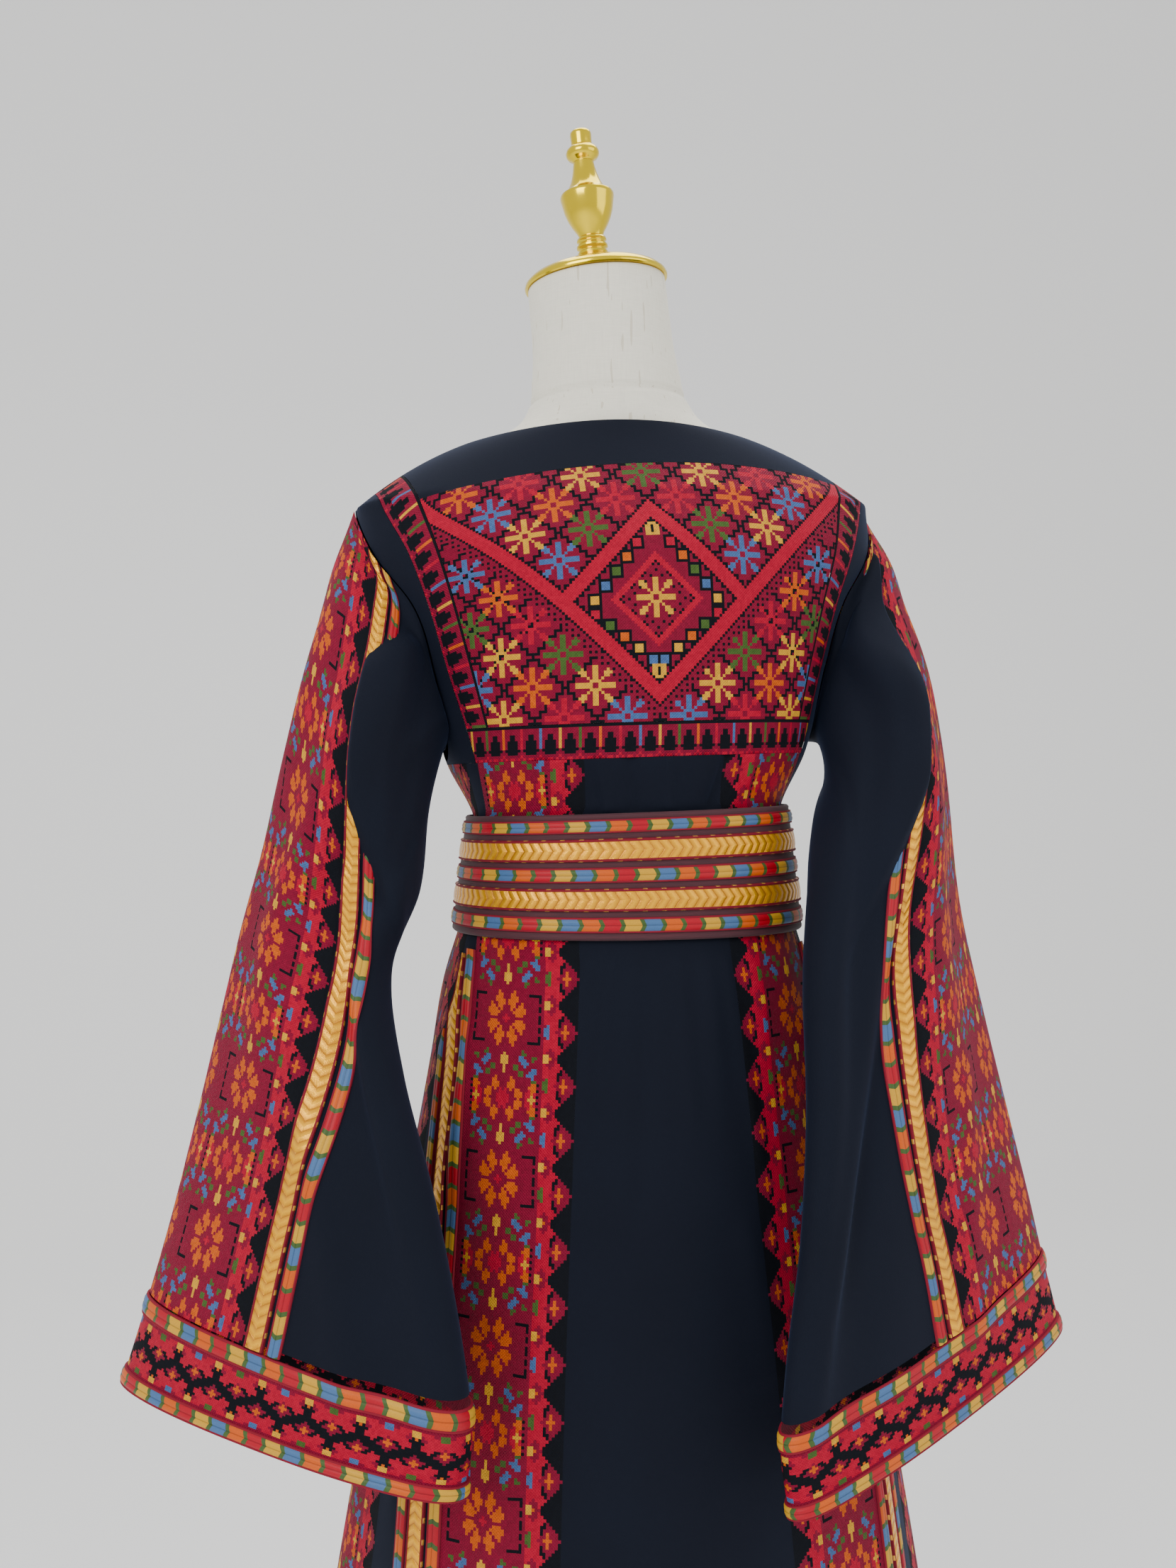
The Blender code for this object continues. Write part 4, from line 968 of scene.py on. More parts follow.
def neckline_back(across):
    """Height of the back neckline: a parabola that falls from its middle to the shoulder ridge."""
    return NECK_BACK - (NECK_BACK - ridge_height(NECK_SIDE)) * (across / NECK_SIDE) ** 2


def neckline_front(across):
    """Height of the front neckline: it rises with the power 2.4 of the place across."""
    share = np.minimum(np.abs(across) / NECK_SIDE, 1)
    return NECK_FRONT + (ridge_height(NECK_SIDE) - NECK_FRONT) * share**2.4


def up_to(neckline):
    """Height of the bodice's upper edge: the neckline, then the shoulder ridge."""
    return lambda x: np.where(np.abs(x) < NECK_SIDE, neckline(x), ridge_height(x))


def across_rings(height, half_count):
    """Places across for each height that are a stitch apart along the curved back, both ways."""
    places = []
    for level in height:
        across = np.linspace(0, half_width(level) * 0.9999, 800)
        length = lengths_along(bodice_point(across, np.full(800, level), False))
        places.append(np.interp(np.arange(half_count + 1) * STITCH, length, across))
    places = np.array(places)
    return np.concatenate([-places[:, :0:-1], places], axis=1)


def stitch_apart(line, places):
    """Of places known along a line, those that lie about a stitch apart on it."""
    length = lengths_along(line)
    return np.interp(np.linspace(0, 1, round(length[-1] / STITCH) + 1) * length[-1], length, places)


def stitch_levels(low, high):
    """Heights a stitch apart along the back's middle."""
    level = np.linspace(low, high, 2000)
    return stitch_apart(bodice_point(np.zeros(2000), level, False), level)


def star_at(letters, x, y, across, down, thread):
    """Works one eight-pointed star with its middle at a place."""
    star = np.array([list(row) for row in STAR]) == "#"
    dx, dy = (np.where(far >= 0, far, -1 - far) for far in (x - across, y - down))
    last = len(star) - 1
    inside = (dx <= last) & (dy <= last)
    letters[inside & star[np.minimum(dy, last), np.minimum(dx, last)]] = thread


def yoke_chart(x, y):
    """Letters of the yoke, from stitches across and down from the middle of its diamond."""
    letters = np.full(x.shape, ".")
    out = np.abs(x)
    upper = y < out - DIAMOND_REACH
    lower = y > DIAMOND_REACH - out
    for region, (across, down) in ((upper, UPPER_LATTICE), (lower, LOWER_LATTICE)):
        falling, rising = (out - across) + (y - down), (out - across) - (y - down)
        for line in (falling, rising):
            near = np.abs((line + STAR_HALF_CELL) % (2 * STAR_HALF_CELL))
            near = np.minimum(near, 2 * STAR_HALF_CELL - near)
            letters[region & ((near == 0) | ((near == 1) & (out % 2 == 0)))] = "K"
    stars = [(UPPER_LATTICE[0] + STAR_HALF_CELL * steps, UPPER_LATTICE[1] - STAR_HALF_CELL * rise, thread)
             for steps, rise, thread in UPPER_STARS]
    stars += [(STAR_HALF_CELL * steps, LOWER_LATTICE[1] + STAR_HALF_CELL * fall, thread)
              for steps, fall, thread in LOWER_STARS]
    for across, down, thread in stars:
        for sign in (-1, 1):
            star_at(letters, x, y, sign * across, down, thread)
    inside = out + np.abs(y) < DIAMOND_REACH
    letters[inside] = "."
    ring = out + np.abs(y)
    letters[inside & (ring == OUTER_DOTS) & (x % 2 == 0)] = "K"
    for across, down, thread in RING_SQUARES:
        reach = np.maximum(np.abs(out - across), np.abs(y - down))
        letters[inside & (reach == 2)] = "K"
        letters[inside & (reach < 2)] = thread
    for down in (-TIP_BLOCK, TIP_BLOCK):
        block = (out <= 2) & (np.abs(y - down) <= 2)
        letters[block] = "Y"
        letters[(out == 0) & (np.abs(y - down) <= 1)] = "K"
    letters[inside & (ring >= RED_RING[0]) & (ring <= RED_RING[1])] = "R"
    letters[inside & (ring == BROKEN_RING) & (out % 4 < 2)] = "K"
    letters[inside & (ring == INNER_DOTS) & (out % 2 == 0)] = "K"
    star_at(letters, x, y, 0, 0, "Y")
    long_band = np.abs(y - (DIAMOND_REACH - out))
    top_band = np.where(out <= DIAMOND_REACH, np.abs(y + DIAMOND_REACH - out), 99)
    band = np.minimum(long_band, top_band)
    letters[(band >= 6) & (band <= 8) & (out > 0) & ((band != 7) | (x % 2 == 1))
            & (long_band == band) & lower] = "."
    letters[(band == 7) & (x % 2 == 0) & lower] = "K"
    letters[band == 4] = "K"
    letters[band <= 3] = "R"
    return letters


def teeth_chart(along, outwards):
    """Letters of a teeth band, from stitches along it and out from the yoke."""
    teeth = np.array([list(row) for row in TEETH])
    rows, columns = teeth.shape
    letters = teeth[np.clip(outwards, 0, rows - 1), along % columns]
    bars = np.array(list(BAR_THREADS))[along // columns % len(BAR_THREADS)]
    return np.where(letters == "c", bars, letters)


def yoke_drop(across):
    """How much lower the yoke's top edge hangs at a place across, more on its left."""
    share = np.clip(across / YOKE_HALF, -1, 1)
    return YOKE_SAG * share**2 - YOKE_TILT * share


def stitched_bodice_panel(name, low, high, outer, half_count, chart, middle_row):
    """A worked panel whose stitches run straight and are cut off by its side seams."""
    levels = stitch_levels(low, high)
    places = across_rings(levels, half_count)
    hanging = eased((levels[:, None] - YOKE_DROP_START) / YOKE_DROP_SPAN)
    height = levels[:, None] - yoke_drop(places) * hanging
    limit = outer(height) - SEAM_HALF
    clipped = np.clip(places, -limit, limit)
    row, column = np.indices((len(levels) - 1, 2 * half_count))
    letters = chart(column - half_count, middle_row(levels) - row)
    width = np.diff(clipped, axis=1)
    keep = np.maximum(width[:-1], width[1:]) > LEAST_STITCH
    piece = sew_stitches(name, bodice_point(clipped, height, False), letters, keep)
    declare(piece, (2 * limit[:, 0] * CURVED_SHARE, (len(levels) - 1) * STITCH))


def seam_place(column):
    """A seam's place across, read from the table at a height."""
    return lambda height: read_table(BACK_SEAMS, column, height)


yoke_edge, border_edge, armhole_edge = seam_place(1), seam_place(2), seam_place(3)
stitched_bodice_panel(
    "yoke_panel", YOKE_BAND_TOP + SEAM_HALF, YOKE_TOP - SEAM_HALF, yoke_edge, 96, yoke_chart,
    lambda levels: int(np.searchsorted(levels, DIAMOND_MIDDLE)),
)
stitched_bodice_panel(
    "yoke_band", YOKE_SEAM + SEAM_HALF, YOKE_BAND_TOP - SEAM_HALF, border_edge, 76, teeth_chart,
    lambda levels: len(levels) - 2,
)


def plain_bodice_piece(name, across_at, shares, low, high, rows, front, width, flip):
    """A black bodice piece in columns; its length is their mean."""
    points = bodice_columns(across_at, shares, low, high, rows, front, name == "yoke_top")
    columns = np.linalg.norm(np.diff(points, axis=0), axis=-1).sum(0)
    declare(hang_crepe(name, points, flip), (width, float(columns.mean())))


plain_bodice_piece(
    "yoke_top", lambda u, z: u * (yoke_edge(z) - SEAM_HALF), np.linspace(-1, 1, 61),
    YOKE_TOP + SEAM_HALF, up_to(neckline_back), 20, False, (0.36, 0.34), False,
)
plain_bodice_piece(
    "front_bodice", lambda u, z: u * armhole_edge(z), np.sin(np.linspace(-1, 1, 81) * math.pi / 2),
    YOKE_SEAM + SEAM_HALF, up_to(neckline_front), 50, True, (0.50, 0.42), True,
)
for side, sign in SIDES:
    plain_bodice_piece(
        "armhole_side_" + side,
        lambda u, z: sign * (border_edge(z) + SEAM_HALF
                             + u * (armhole_edge(z) - border_edge(z) - SEAM_HALF)),
        np.linspace(0, 1, 13), YOKE_SEAM + SEAM_HALF, up_to(neckline_back), 60, False,
        (0.036, 0.018), sign < 0,
    )
    points = bodice_columns(
        lambda u, z: sign * (yoke_edge(z) + SEAM_HALF + u * (border_edge(z) - yoke_edge(z) - 2 * SEAM_HALF)),
        np.linspace(0, 1, BORDER_COUNT + 1), YOKE_BAND_TOP + SEAM_HALF, up_to(neckline_back),
        BORDER_ROWS + 1, False,
    )
    row, column = np.indices((BORDER_ROWS, BORDER_COUNT))
    piece = sew_stitches("yoke_border_" + side, points, teeth_chart(BORDER_ROWS - row, column), flip=sign < 0)
    declare(piece, ((0.026, 0.024), BORDER_ROWS * STITCH))


# Sleeves
# Long bell sleeves: a cross-stitched strip lies over the outer fold, then plain black crepe hangs to
# the inner fold. Each is a tube round an outer and an inner fold line, from armhole to cuff.
LEFT_SLEEVE = (
    # down, outer_x, outer_y, outer_z, inner_x, inner_y, inner_z, half_thick
    (0.00, -0.219, 0.000, 1.387, -0.155, 0.000, 1.190, 0.046),
    (0.16, -0.241, -0.005, 1.330, -0.160, -0.020, 1.185, 0.046),
    (0.30, -0.262, -0.010, 1.265, -0.172, -0.055, 1.140, 0.044),
    (0.44, -0.281, -0.015, 1.185, -0.183, -0.085, 1.080, 0.040),
    (0.60, -0.301, -0.020, 1.085, -0.209, -0.110, 1.015, 0.036),
    (0.74, -0.323, -0.025, 0.985, -0.203, -0.152, 0.945, 0.036),
    (0.86, -0.347, -0.030, 0.885, -0.183, -0.188, 0.865, 0.038),
    (0.94, -0.364, -0.035, 0.820, -0.169, -0.203, 0.795, 0.040),
    (1.00, -0.378, -0.040, 0.772, -0.160, -0.212, 0.735, 0.042),
    (1.12, -0.398, -0.042, 0.705, -0.164, -0.222, 0.676, 0.044),
)
RIGHT_SLEEVE = (
    # down, outer_x, outer_y, outer_z, inner_x, inner_y, inner_z, half_thick
    (0.00, 0.219, 0.000, 1.387, 0.155, 0.000, 1.190, 0.046),
    (0.16, 0.246, -0.005, 1.330, 0.162, -0.025, 1.185, 0.046),
    (0.30, 0.255, -0.010, 1.265, 0.150, -0.075, 1.145, 0.044),
    (0.44, 0.266, -0.015, 1.170, 0.128, -0.125, 1.085, 0.038),
    (0.60, 0.280, -0.020, 1.060, 0.108, -0.158, 1.000, 0.033),
    (0.74, 0.297, -0.040, 0.960, 0.098, -0.186, 0.905, 0.030),
    (0.86, 0.317, -0.055, 0.865, 0.083, -0.208, 0.815, 0.028),
    (0.94, 0.329, -0.062, 0.810, 0.070, -0.220, 0.755, 0.028),
    (1.00, 0.337, -0.068, 0.768, 0.062, -0.228, 0.705, 0.028),
    (1.12, 0.352, -0.074, 0.702, 0.064, -0.238, 0.648, 0.028),
)
SLEEVE_DRAPES = (
    # around, height, width, start, end
    (0.24, 0.012, 0.050, 0.10, 0.85),
    (0.36, -0.009, 0.045, 0.30, 1.10),
    (0.70, 0.010, 0.060, 0.25, 1.12),
)
SLEEVE_CREASES = (
    # sleeve, start_around, end_around, start, end, width, height
    (-1, 0.30, 0.27, 0.42, 0.62, 0.018, -0.0045),
    (-1, 0.42, 0.31, 0.06, 0.34, 0.022, 0.0040),
    (-1, 0.38, 0.44, 0.50, 1.00, 0.026, 0.0040),
    (-1, 0.46, 0.38, 0.28, 0.46, 0.014, -0.0030),
    (-1, 0.27, 0.33, 0.66, 1.10, 0.020, 0.0034),
    (1, 0.28, 0.24, 0.08, 0.36, 0.020, 0.0038),
    (1, 0.24, 0.40, 0.40, 0.98, 0.016, -0.0050),
    (1, 0.30, 0.43, 0.44, 1.06, 0.020, 0.0042),
    (1, 0.44, 0.40, 0.20, 0.46, 0.016, -0.0030),
    (1, 0.20, 0.24, 0.70, 1.12, 0.022, 0.0036),
    (-1, -0.30, -0.24, 0.12, 0.90, 0.030, 0.0045),
    (-1, -0.40, -0.36, 0.40, 1.10, 0.024, -0.0040),
    (1, -0.28, -0.22, 0.14, 0.92, 0.030, 0.0045),
    (1, -0.38, -0.34, 0.36, 1.10, 0.024, -0.0040),
)
SLEEVE_DENSE = 720
ARMHOLE_LOW, ARMHOLE_GAP, ARMHOLE_BLEND = 1.1905, 0.0012, 0.16
SLEEVE_CURVE, ARMHOLE_CURVE = 0.85, 0.15
DIRECTION_STEP = 0.06
DRAPE_EASE, DRAPE_LAST, SLEEVE_CREASE_EASE = 0.2, 0.15, 0.3
# stitches across each strip, and its rosettes' axis in stitches from its back edge
SLEEVE_STRIP_STITCHES = {"L": 70, "R": 78}
STRIP_AXIS, STRIP_ROW = 27, 6
SLEEVE_CROWDING = 1.35
LEFT_STRIP_EDGE = (
    # down, length from the outer fold to the strip's back edge
    (0.00, 0.050), (0.16, 0.062), (0.32, 0.095), (0.48, 0.125), (0.66, 0.143), (0.80, 0.146),
    (0.92, 0.138), (1.12, 0.136),
)
RIGHT_STRIP_EDGE = (
    # down, length from the outer fold to the strip's back edge
    (0.00, 0.034), (0.16, 0.052), (0.32, 0.090), (0.48, 0.135), (0.66, 0.163), (0.80, 0.167),
    (0.92, 0.160), (1.12, 0.157),
)
CUFF_GAP, CUFF_DEPTH, CUFF_END = 0.0012, 0.085, 1.12
CUFF_COUNT, CUFF_ROWS, CUFF_EDGE, CUFF_FIELD = 288, 32, 6, 19
CUFF_SCALLOP = (
    # rows run from the middle of a scallop to the valley, columns from the band's edge inwards
    "ccRR.OOO..K",
    "ccRRR.O..KK",
    ".RRRRK..KKK",
    ".RRRRKK.KKK",
    "RRRRRRKKKKK",
    "RRRRRRRKKKK",
    "RR.RRRKKKKK",
    "R..KRRKKKKK",
    "YYKKKKKKKKK",
    "YYOKKKKKKKK",
)
FOLD_OVER_BANDS = (
    # sleeve, first_down, first_slope, last_down, last_slope
    (-1, 0.235, -2.6, 0.425, 2.0),
    (1, 0.035, 0.0, 0.440, 2.2),
)
FOLD_RISE, FOLD_ENDS, FOLD_START, FOLD_CREST, FOLD_FADE = 0.0080, 0.05, 0.006, 0.038, 0.040


def armhole_ring(sign, turn):
    """The sleeve's first ring: down the back edge of the armhole and up its front edge."""
    tip = ridge_height(SHOULDER_TIP)
    height = ARMHOLE_LOW + (tip - ARMHOLE_LOW) * (0.5 + 0.5 * np.cos(2 * np.pi * turn))
    across = armhole_edge(height)
    back = bodice_point(across, height, False)[:, 1]
    along = np.where(turn > 0, back, -back) * np.abs(np.sin(2 * np.pi * turn)) ** ARMHOLE_CURVE
    return np.stack([sign * (across + ARMHOLE_GAP), along, height], -1)


def sleeve_rings(table, sign, down):
    """Rings down the sleeve from -1/2 to 1/2 turn round its outer fold: points, normals, lengths.

    Each is a superellipse between the two fold lines, swollen by drapes and creased, and eases out
    of the armhole's own ring over the first part.
    """
    turn = np.linspace(-0.5, 0.5, SLEEVE_DENSE + 1)
    known = np.sort(np.append(down, [ARMHOLE_BLEND]))
    outer = np.stack([read_table(table, k, known) for k in (1, 2, 3)], -1)
    inner = np.stack([read_table(table, k, known) for k in (4, 5, 6)], -1)
    ahead = [np.stack([(read_table(table, k, known + d) + read_table(table, k + 3, known + d)) / 2
                       for k in (1, 2, 3)], -1) for d in (-DIRECTION_STEP, DIRECTION_STEP)]
    centre, major = (outer + inner) / 2, (outer - inner) / 2
    minor = np.cross(ahead[1] - ahead[0], major) * sign
    minor = unit(minor) * np.where(minor[:, 1:2] > 0, -1, 1)
    c, s = np.cos(2 * np.pi * turn), np.sin(2 * np.pi * turn)
    wide, deep = (np.sign(v) * np.abs(v) ** SLEEVE_CURVE for v in (c, s))
    thick = minor * read_table(table, 7, known)[:, None]
    rings = centre[:, None] + major[:, None] * wide[None, :, None] + thick[:, None] * deep[None, :, None]
    fold = np.zeros((len(known), len(turn)))
    for place, high, width, start, end in SLEEVE_DRAPES:
        on = np.clip((known - start) / DRAPE_EASE, 0, 1)
        on = on * np.clip((end - known) / DRAPE_EASE + DRAPE_LAST, 0, 1)
        away = (turn - place + 0.5) % 1 - 0.5
        fold += high * on[:, None] * np.exp(-((away / width) ** 2))[None, :]
    for which, first_place, last_place, start, end, width, high in SLEEVE_CREASES:
        share = (known - start) / (end - start)
        place = (first_place + (last_place - first_place) * share)[:, None]
        on = eased(share / SLEEVE_CREASE_EASE) * eased((1 - share) / SLEEVE_CREASE_EASE)
        away = (turn[None, :] - place + 0.5) % 1 - 0.5
        fold += (which == sign) * high * on[:, None] * np.exp(-((away / width) ** 2))
    rings += minor[:, None] * (fold * np.sign(s + 1e-9))[..., None]
    first = armhole_ring(sign, turn)
    drop = rings[np.searchsorted(known, ARMHOLE_BLEND)] - first
    share = np.clip(known / ARMHOLE_BLEND, 0, 1)[:, None, None]
    rings = (first[None] + drop[None] * share) * (1 - eased(share)) + rings * eased(share)
    rings = rings[np.searchsorted(known, down)]
    around = np.roll(rings[:, :-1], -3, axis=1) - np.roll(rings[:, :-1], 3, axis=1)
    normals = np.cross(around, np.gradient(rings, down, axis=0)[:, :-1]) * -sign
    normals = unit(np.concatenate([normals, normals[:, :1]], axis=1))
    if ((rings - rings.mean(axis=1, keepdims=True)) * normals).sum() < 0:
        normals = -normals
    length = lengths_round(rings)
    length -= length[:, SLEEVE_DENSE // 2 : SLEEVE_DENSE // 2 + 1]
    whole = (length[:, -1] - length[:, 0])[:, None]
    return (np.concatenate([rings, rings[:, 1:]], axis=1), np.concatenate([normals, normals[:, 1:]], axis=1),
            np.concatenate([length, length[:, 1:] + whole], axis=1))


def even_downs(table, low, high):
    """Places down the sleeve a stitch apart along its outer fold."""
    down = np.linspace(low, high, 400)
    return stitch_apart(np.stack([read_table(table, k, down) for k in (1, 2, 3)], -1), down)


def sleeve_cloth(side, sign, table, strip_edge):
    """The strip over the fold and the black cloth beside it."""
    down = even_downs(table, 0.0, 1.0)
    rings = sleeve_rings(table, sign, down)
    whole = rings[2][:, SLEEVE_DENSE] - rings[2][:, 0]
    edge = read_table(strip_edge, 1, down)
    count = SLEEVE_STRIP_STITCHES[side]
    width = count * STITCH
    points, _ = cut_panel(rings, shared(edge - width, edge, count + 1))
    row, column = np.indices((len(down) - 1, count))
    letters = strip_chart(row + STRIP_ROW, column - (count - STRIP_AXIS), repeated=True)
    piece = sew_stitches("sleeve_strip_" + side, points, letters, flip=sign > 0)
    declare(piece, ([width], len(down) * STITCH))
    plain = slice(None, None, 3)
    start = edge[plain]
    end = whole[plain] + start - width
    away = (end - start)[:, None] * np.linspace(0, 1, 97)[None, :] ** SLEEVE_CROWDING
    points, normals = cut_panel(tuple(each[plain] for each in rings), start[:, None] + away)
    level = down[plain][:, None]
    for which, first, first_slope, last, last_slope in FOLD_OVER_BANDS:
        over = eased((level - first - first_slope * away) / FOLD_ENDS)
        over = over * eased((last + last_slope * away - level) / FOLD_ENDS)
        over = over * eased(away / FOLD_START) * (1 - eased((away - FOLD_CREST) / FOLD_FADE))
        points = points + normals * (FOLD_RISE * (which == sign) * over)[..., None]
    piece = hang_crepe("sleeve_" + side, points, sign > 0)
    declare(piece, (end - start, len(down) * STITCH))
    return edge, rings


def cuff_cloth(side, sign, table):
    """The cross-stitched band round the sleeve's mouth: scallops from both edges, set to mesh."""
    scallop = np.array([list(row) for row in CUFF_SCALLOP])
    reach = scallop.shape[1]
    rings = sleeve_rings(table, sign, np.linspace(1.0, CUFF_END, CUFF_ROWS + 1))
    whole = rings[2][:, SLEEVE_DENSE] - rings[2][:, 0]
    points, normals = cut_panel(rings, rings[2][:, :1] + shared(0 * whole, whole, CUFF_COUNT + 1))
    points[0] += unit(points[1] - points[0]) * CUFF_GAP
    row, column = np.indices((CUFF_ROWS, CUFF_COUNT))
    inward = row - CUFF_EDGE

    def from_edge(depth, place):
        """Letters of the scallops that stand on one edge, from stitches in from it and along it."""
        distance = np.abs(place % SCALLOP_REPEAT - SCALLOP_REPEAT // 2)
        letters = scallop[distance, np.clip(depth - 1, 0, reach - 1)]
        bud = np.where(place // SCALLOP_REPEAT % 2 == 0, "B", "G")
        letters = np.where(letters == "c", bud, letters)
        return np.where(depth < 1, ".", np.where(depth > reach, "K", letters))

    upper = from_edge(inward, column)
    lower = from_edge(CUFF_FIELD - inward, column + SCALLOP_REPEAT // 2)
    letters = np.where(upper == "K", lower, upper)
    letters = np.concatenate([letters, np.full((2, CUFF_COUNT), ".")])
    points = with_hem(points, normals, 8, at_end=True)
    piece = sew_stitches("cuff_" + side, points, letters, flip=sign > 0, plain_rows=2)
    declare(piece, (whole, CUFF_DEPTH))
    return points[:-2], normals


SLEEVES = (("L", -1, LEFT_SLEEVE, LEFT_STRIP_EDGE), ("R", 1, RIGHT_SLEEVE, RIGHT_STRIP_EDGE))
sleeve_forms = {side: sleeve_cloth(side, sign, table, edge) for side, sign, table, edge in SLEEVES}
cuff_forms = {side: cuff_cloth(side, sign, table) for side, sign, table, edge in SLEEVES}


# Ribbons and gold braids
# Padded satin-stitch ribbons of yellow, blue, orange and red blocks with green chevrons between, and
# broad braids of gold satin chevrons, both with maroon piped edges, sewn on by hand along the seams.
RIBBON_WIDTH, RIBBON_RISE = 0.012, 0.0022
BRAID_WIDTH, BRAID_RISE = 0.017, 0.0026
TRIM_SPACE, TRIM_GAP = 0.003, 0.0004
GORE_END_GAP, GORE_BAND_LEAST = 0.0008, 0.0025
GORE_BAND_TOP, GORE_BAND_STEP, GORE_BAND_INSET, SLEEVE_BAND_INSET = 1.026, 0.004, 0.0002, 0.001
TRIM_LEAST_WIDTH, TRIM_CURVED_SHARE = 0.0101, 1.15
RIBBON_BLOCKS = 0.064
CHEVRON = 0.0078
PIPING_START = 0.375
TRIM_PROFILE = (
    # share of the width, share of the ribbon's rise, share of the braid's rise
    (0.00, 0.00, 0.00), (0.02, 0.55, 0.65), (0.07, 0.62, 0.85), (0.12, 0.40, 0.55), (0.16, 0.72, 0.60),
    (0.28, 0.96, 0.76), (0.42, 1.00, 0.82), (0.50, 0.74, 0.84), (0.58, 1.00, 0.82), (0.72, 0.96, 0.76),
    (0.84, 0.72, 0.60), (0.88, 0.40, 0.55), (0.93, 0.62, 0.85), (0.98, 0.55, 0.65), (1.00, 0.00, 0.00),
)
RIBBON_STOPS = (
    (0.00, (0.700, 0.370, 0.022)), (0.195, (0.060, 0.120, 0.025)), (0.25, (0.070, 0.165, 0.360)),
    (0.445, (0.060, 0.120, 0.025)), (0.50, (0.700, 0.110, 0.004)), (0.695, (0.060, 0.120, 0.025)),
    (0.75, (0.480, 0.002, 0.018)), (0.945, (0.060, 0.120, 0.025)),
)
PIPING = (0.210, 0.0050, 0.0190)


def satin_ribbon_cloth():
    """Satin blocks: colour and relief follow the distance along, bent into chevrons by |across|."""
    satin = Finish("satin ribbon", specular_ior_level=0.25)
    across, along = satin.map_place()
    off = abs(across - 0.5)
    wobble = satin.noise(satin.object_place(), 160.0, 1.0) * 0.02
    place = (along / RIBBON_BLOCKS + off * 0.085 + wobble).part()
    block = satin.node("ShaderNodeValToRGB", {"interpolation": "CONSTANT", "stops": RIBBON_STOPS}, {0: place})
    threads = satin.noise(satin.object_place(), 1700.0)
    edge = off > PIPING_START
    # painted shade: the blocks are darker down the ribbon's middle groove; the thread noise is random tone
    shade = satin.node("ShaderNodeVectorMath", {"operation": "SCALE"},
                       {0: block, "Scale": 0.62 + threads * 0.32 - (off < 0.035) * 0.22})
    satin.put(**{"Base Color": satin.mix(edge, shade, PIPING), "Roughness": 0.44 + edge * 0.3})
    ends = abs((place * 4.0).part() - 0.5) * 2
    satin.bump((ends > 0.93) * -0.6 + threads * 0.35, 0.5, 0.0009)
    return satin


def gold_braid_cloth():
    """Glossy gold satin in nested chevrons, each rounded, with a painted highlight on its crown and painted
    shade in its grooves, between maroon cords with pale picots.
    """
    braid = Finish("gold braid", metallic=0.5)
    across, along = braid.map_place()
    off = abs(across - 0.5)
    wobble = braid.noise(braid.object_place(), 120.0, 1.0) * 0.22
    place = (along / CHEVRON + off * 1.5 + wobble).part()
    round_top = 1 - abs(place - 0.5) * 2
    fibre = braid.noise(braid.object_place(), 1500.0)
    # painted highlight and shade: each chevron's rounded crown is painted bright gold and its grooves dark,
    # with random fibre tone
    painted_highlight_and_fibre = (round_top ** 0.6) * 0.75 + fibre * 0.25
    satin = braid.mix(painted_highlight_and_fibre, (0.400, 0.120, 0.001), (0.960, 0.470, 0.006))
    picot = ((along * 420.0).wave() > 0.72) * (off > 0.465)
    edge = (off > PIPING_START) * (1 - picot)
    colour = braid.mix(edge, satin, PIPING)
    colour = braid.mix(picot * 0.30, colour, (0.45, 0.25, 0.16))
    braid.put(**{"Base Color": colour, "Roughness": 0.27 + edge * 0.45})
    braid.bump((round_top ** 0.5) * (off < PIPING_START) + fibre * 0.3, 0.7, 0.0012)
    return braid


ribbon_satin = satin_ribbon_cloth()
braid_satin = gold_braid_cloth()


def sew_trim(name, points, normals, braid=False, flip=False, rise=None):
    """A padded trim on a strip of cloth whose rows run along it and whose three columns are its
    edges and middle. Its section follows the profile table outwards along the cloth's normals."""
    profile = np.array(TRIM_PROFILE)
    share = profile[:, 0][None, :, None]
    rise = rise or (BRAID_RISE if braid else RIBBON_RISE)
    high = (profile[:, 2 if braid else 1] * rise)[None, :, None]
    bulge = points[:, 1:2] - (points[:, :1] + points[:, -1:]) / 2
    base = points[:, :1] * (1 - share) + points[:, -1:] * share
    base = base + bulge * 4 * share * (1 - share)
    facing = unit(normals[:, :1] * (1 - share) + normals[:, -1:] * share)
    shaped = base + facing * (TRIM_GAP * (high > 0) + high)
    along = lengths_along(points[:, 1])
    maps = np.stack(np.broadcast_arrays(profile[:, 0][None, :], along[:, None]), -1)
    finish, slot = (braid_satin, "gold_braid") if braid else (ribbon_satin, "satin_ribbon")
    piece = add_piece(name, lean(shaped), finish, replaces=[name], maps=maps, flip=flip)
    width = max(float(np.linalg.norm(points[:, -1] - points[:, 0], axis=-1).mean()), TRIM_LEAST_WIDTH)


trim_rows = np.arange(HEM, GORE_BAND_TOP, GORE_BAND_STEP)
trim_rings = body_rings(trim_rows)
_, seam, gore_end, _ = long_seams(trim_rows)
second = seam + RIBBON_WIDTH + TRIM_SPACE
third = second + BRAID_WIDTH + TRIM_SPACE
GORE_BANDS = (
    # name, near_edge, width, is_braid
    ("gore_ribbon_back_", seam + GORE_BAND_INSET, RIBBON_WIDTH, False),
    ("gore_braid_", second, BRAID_WIDTH, True),
    ("gore_ribbon_front_", third, RIBBON_WIDTH, False),
)
for side, sign in SIDES:
    for name, near_edge, width, braid in GORE_BANDS:
        far_edge = np.minimum(near_edge + width, gore_end - GORE_END_GAP)
        used = far_edge - near_edge > GORE_BAND_LEAST
        rings = tuple(each[used] for each in trim_rings)
        points, normals = cut_panel(rings, sign * shared(near_edge[used], far_edge[used], 3))
        sew_trim(name + side, points, normals, braid, flip=sign < 0)

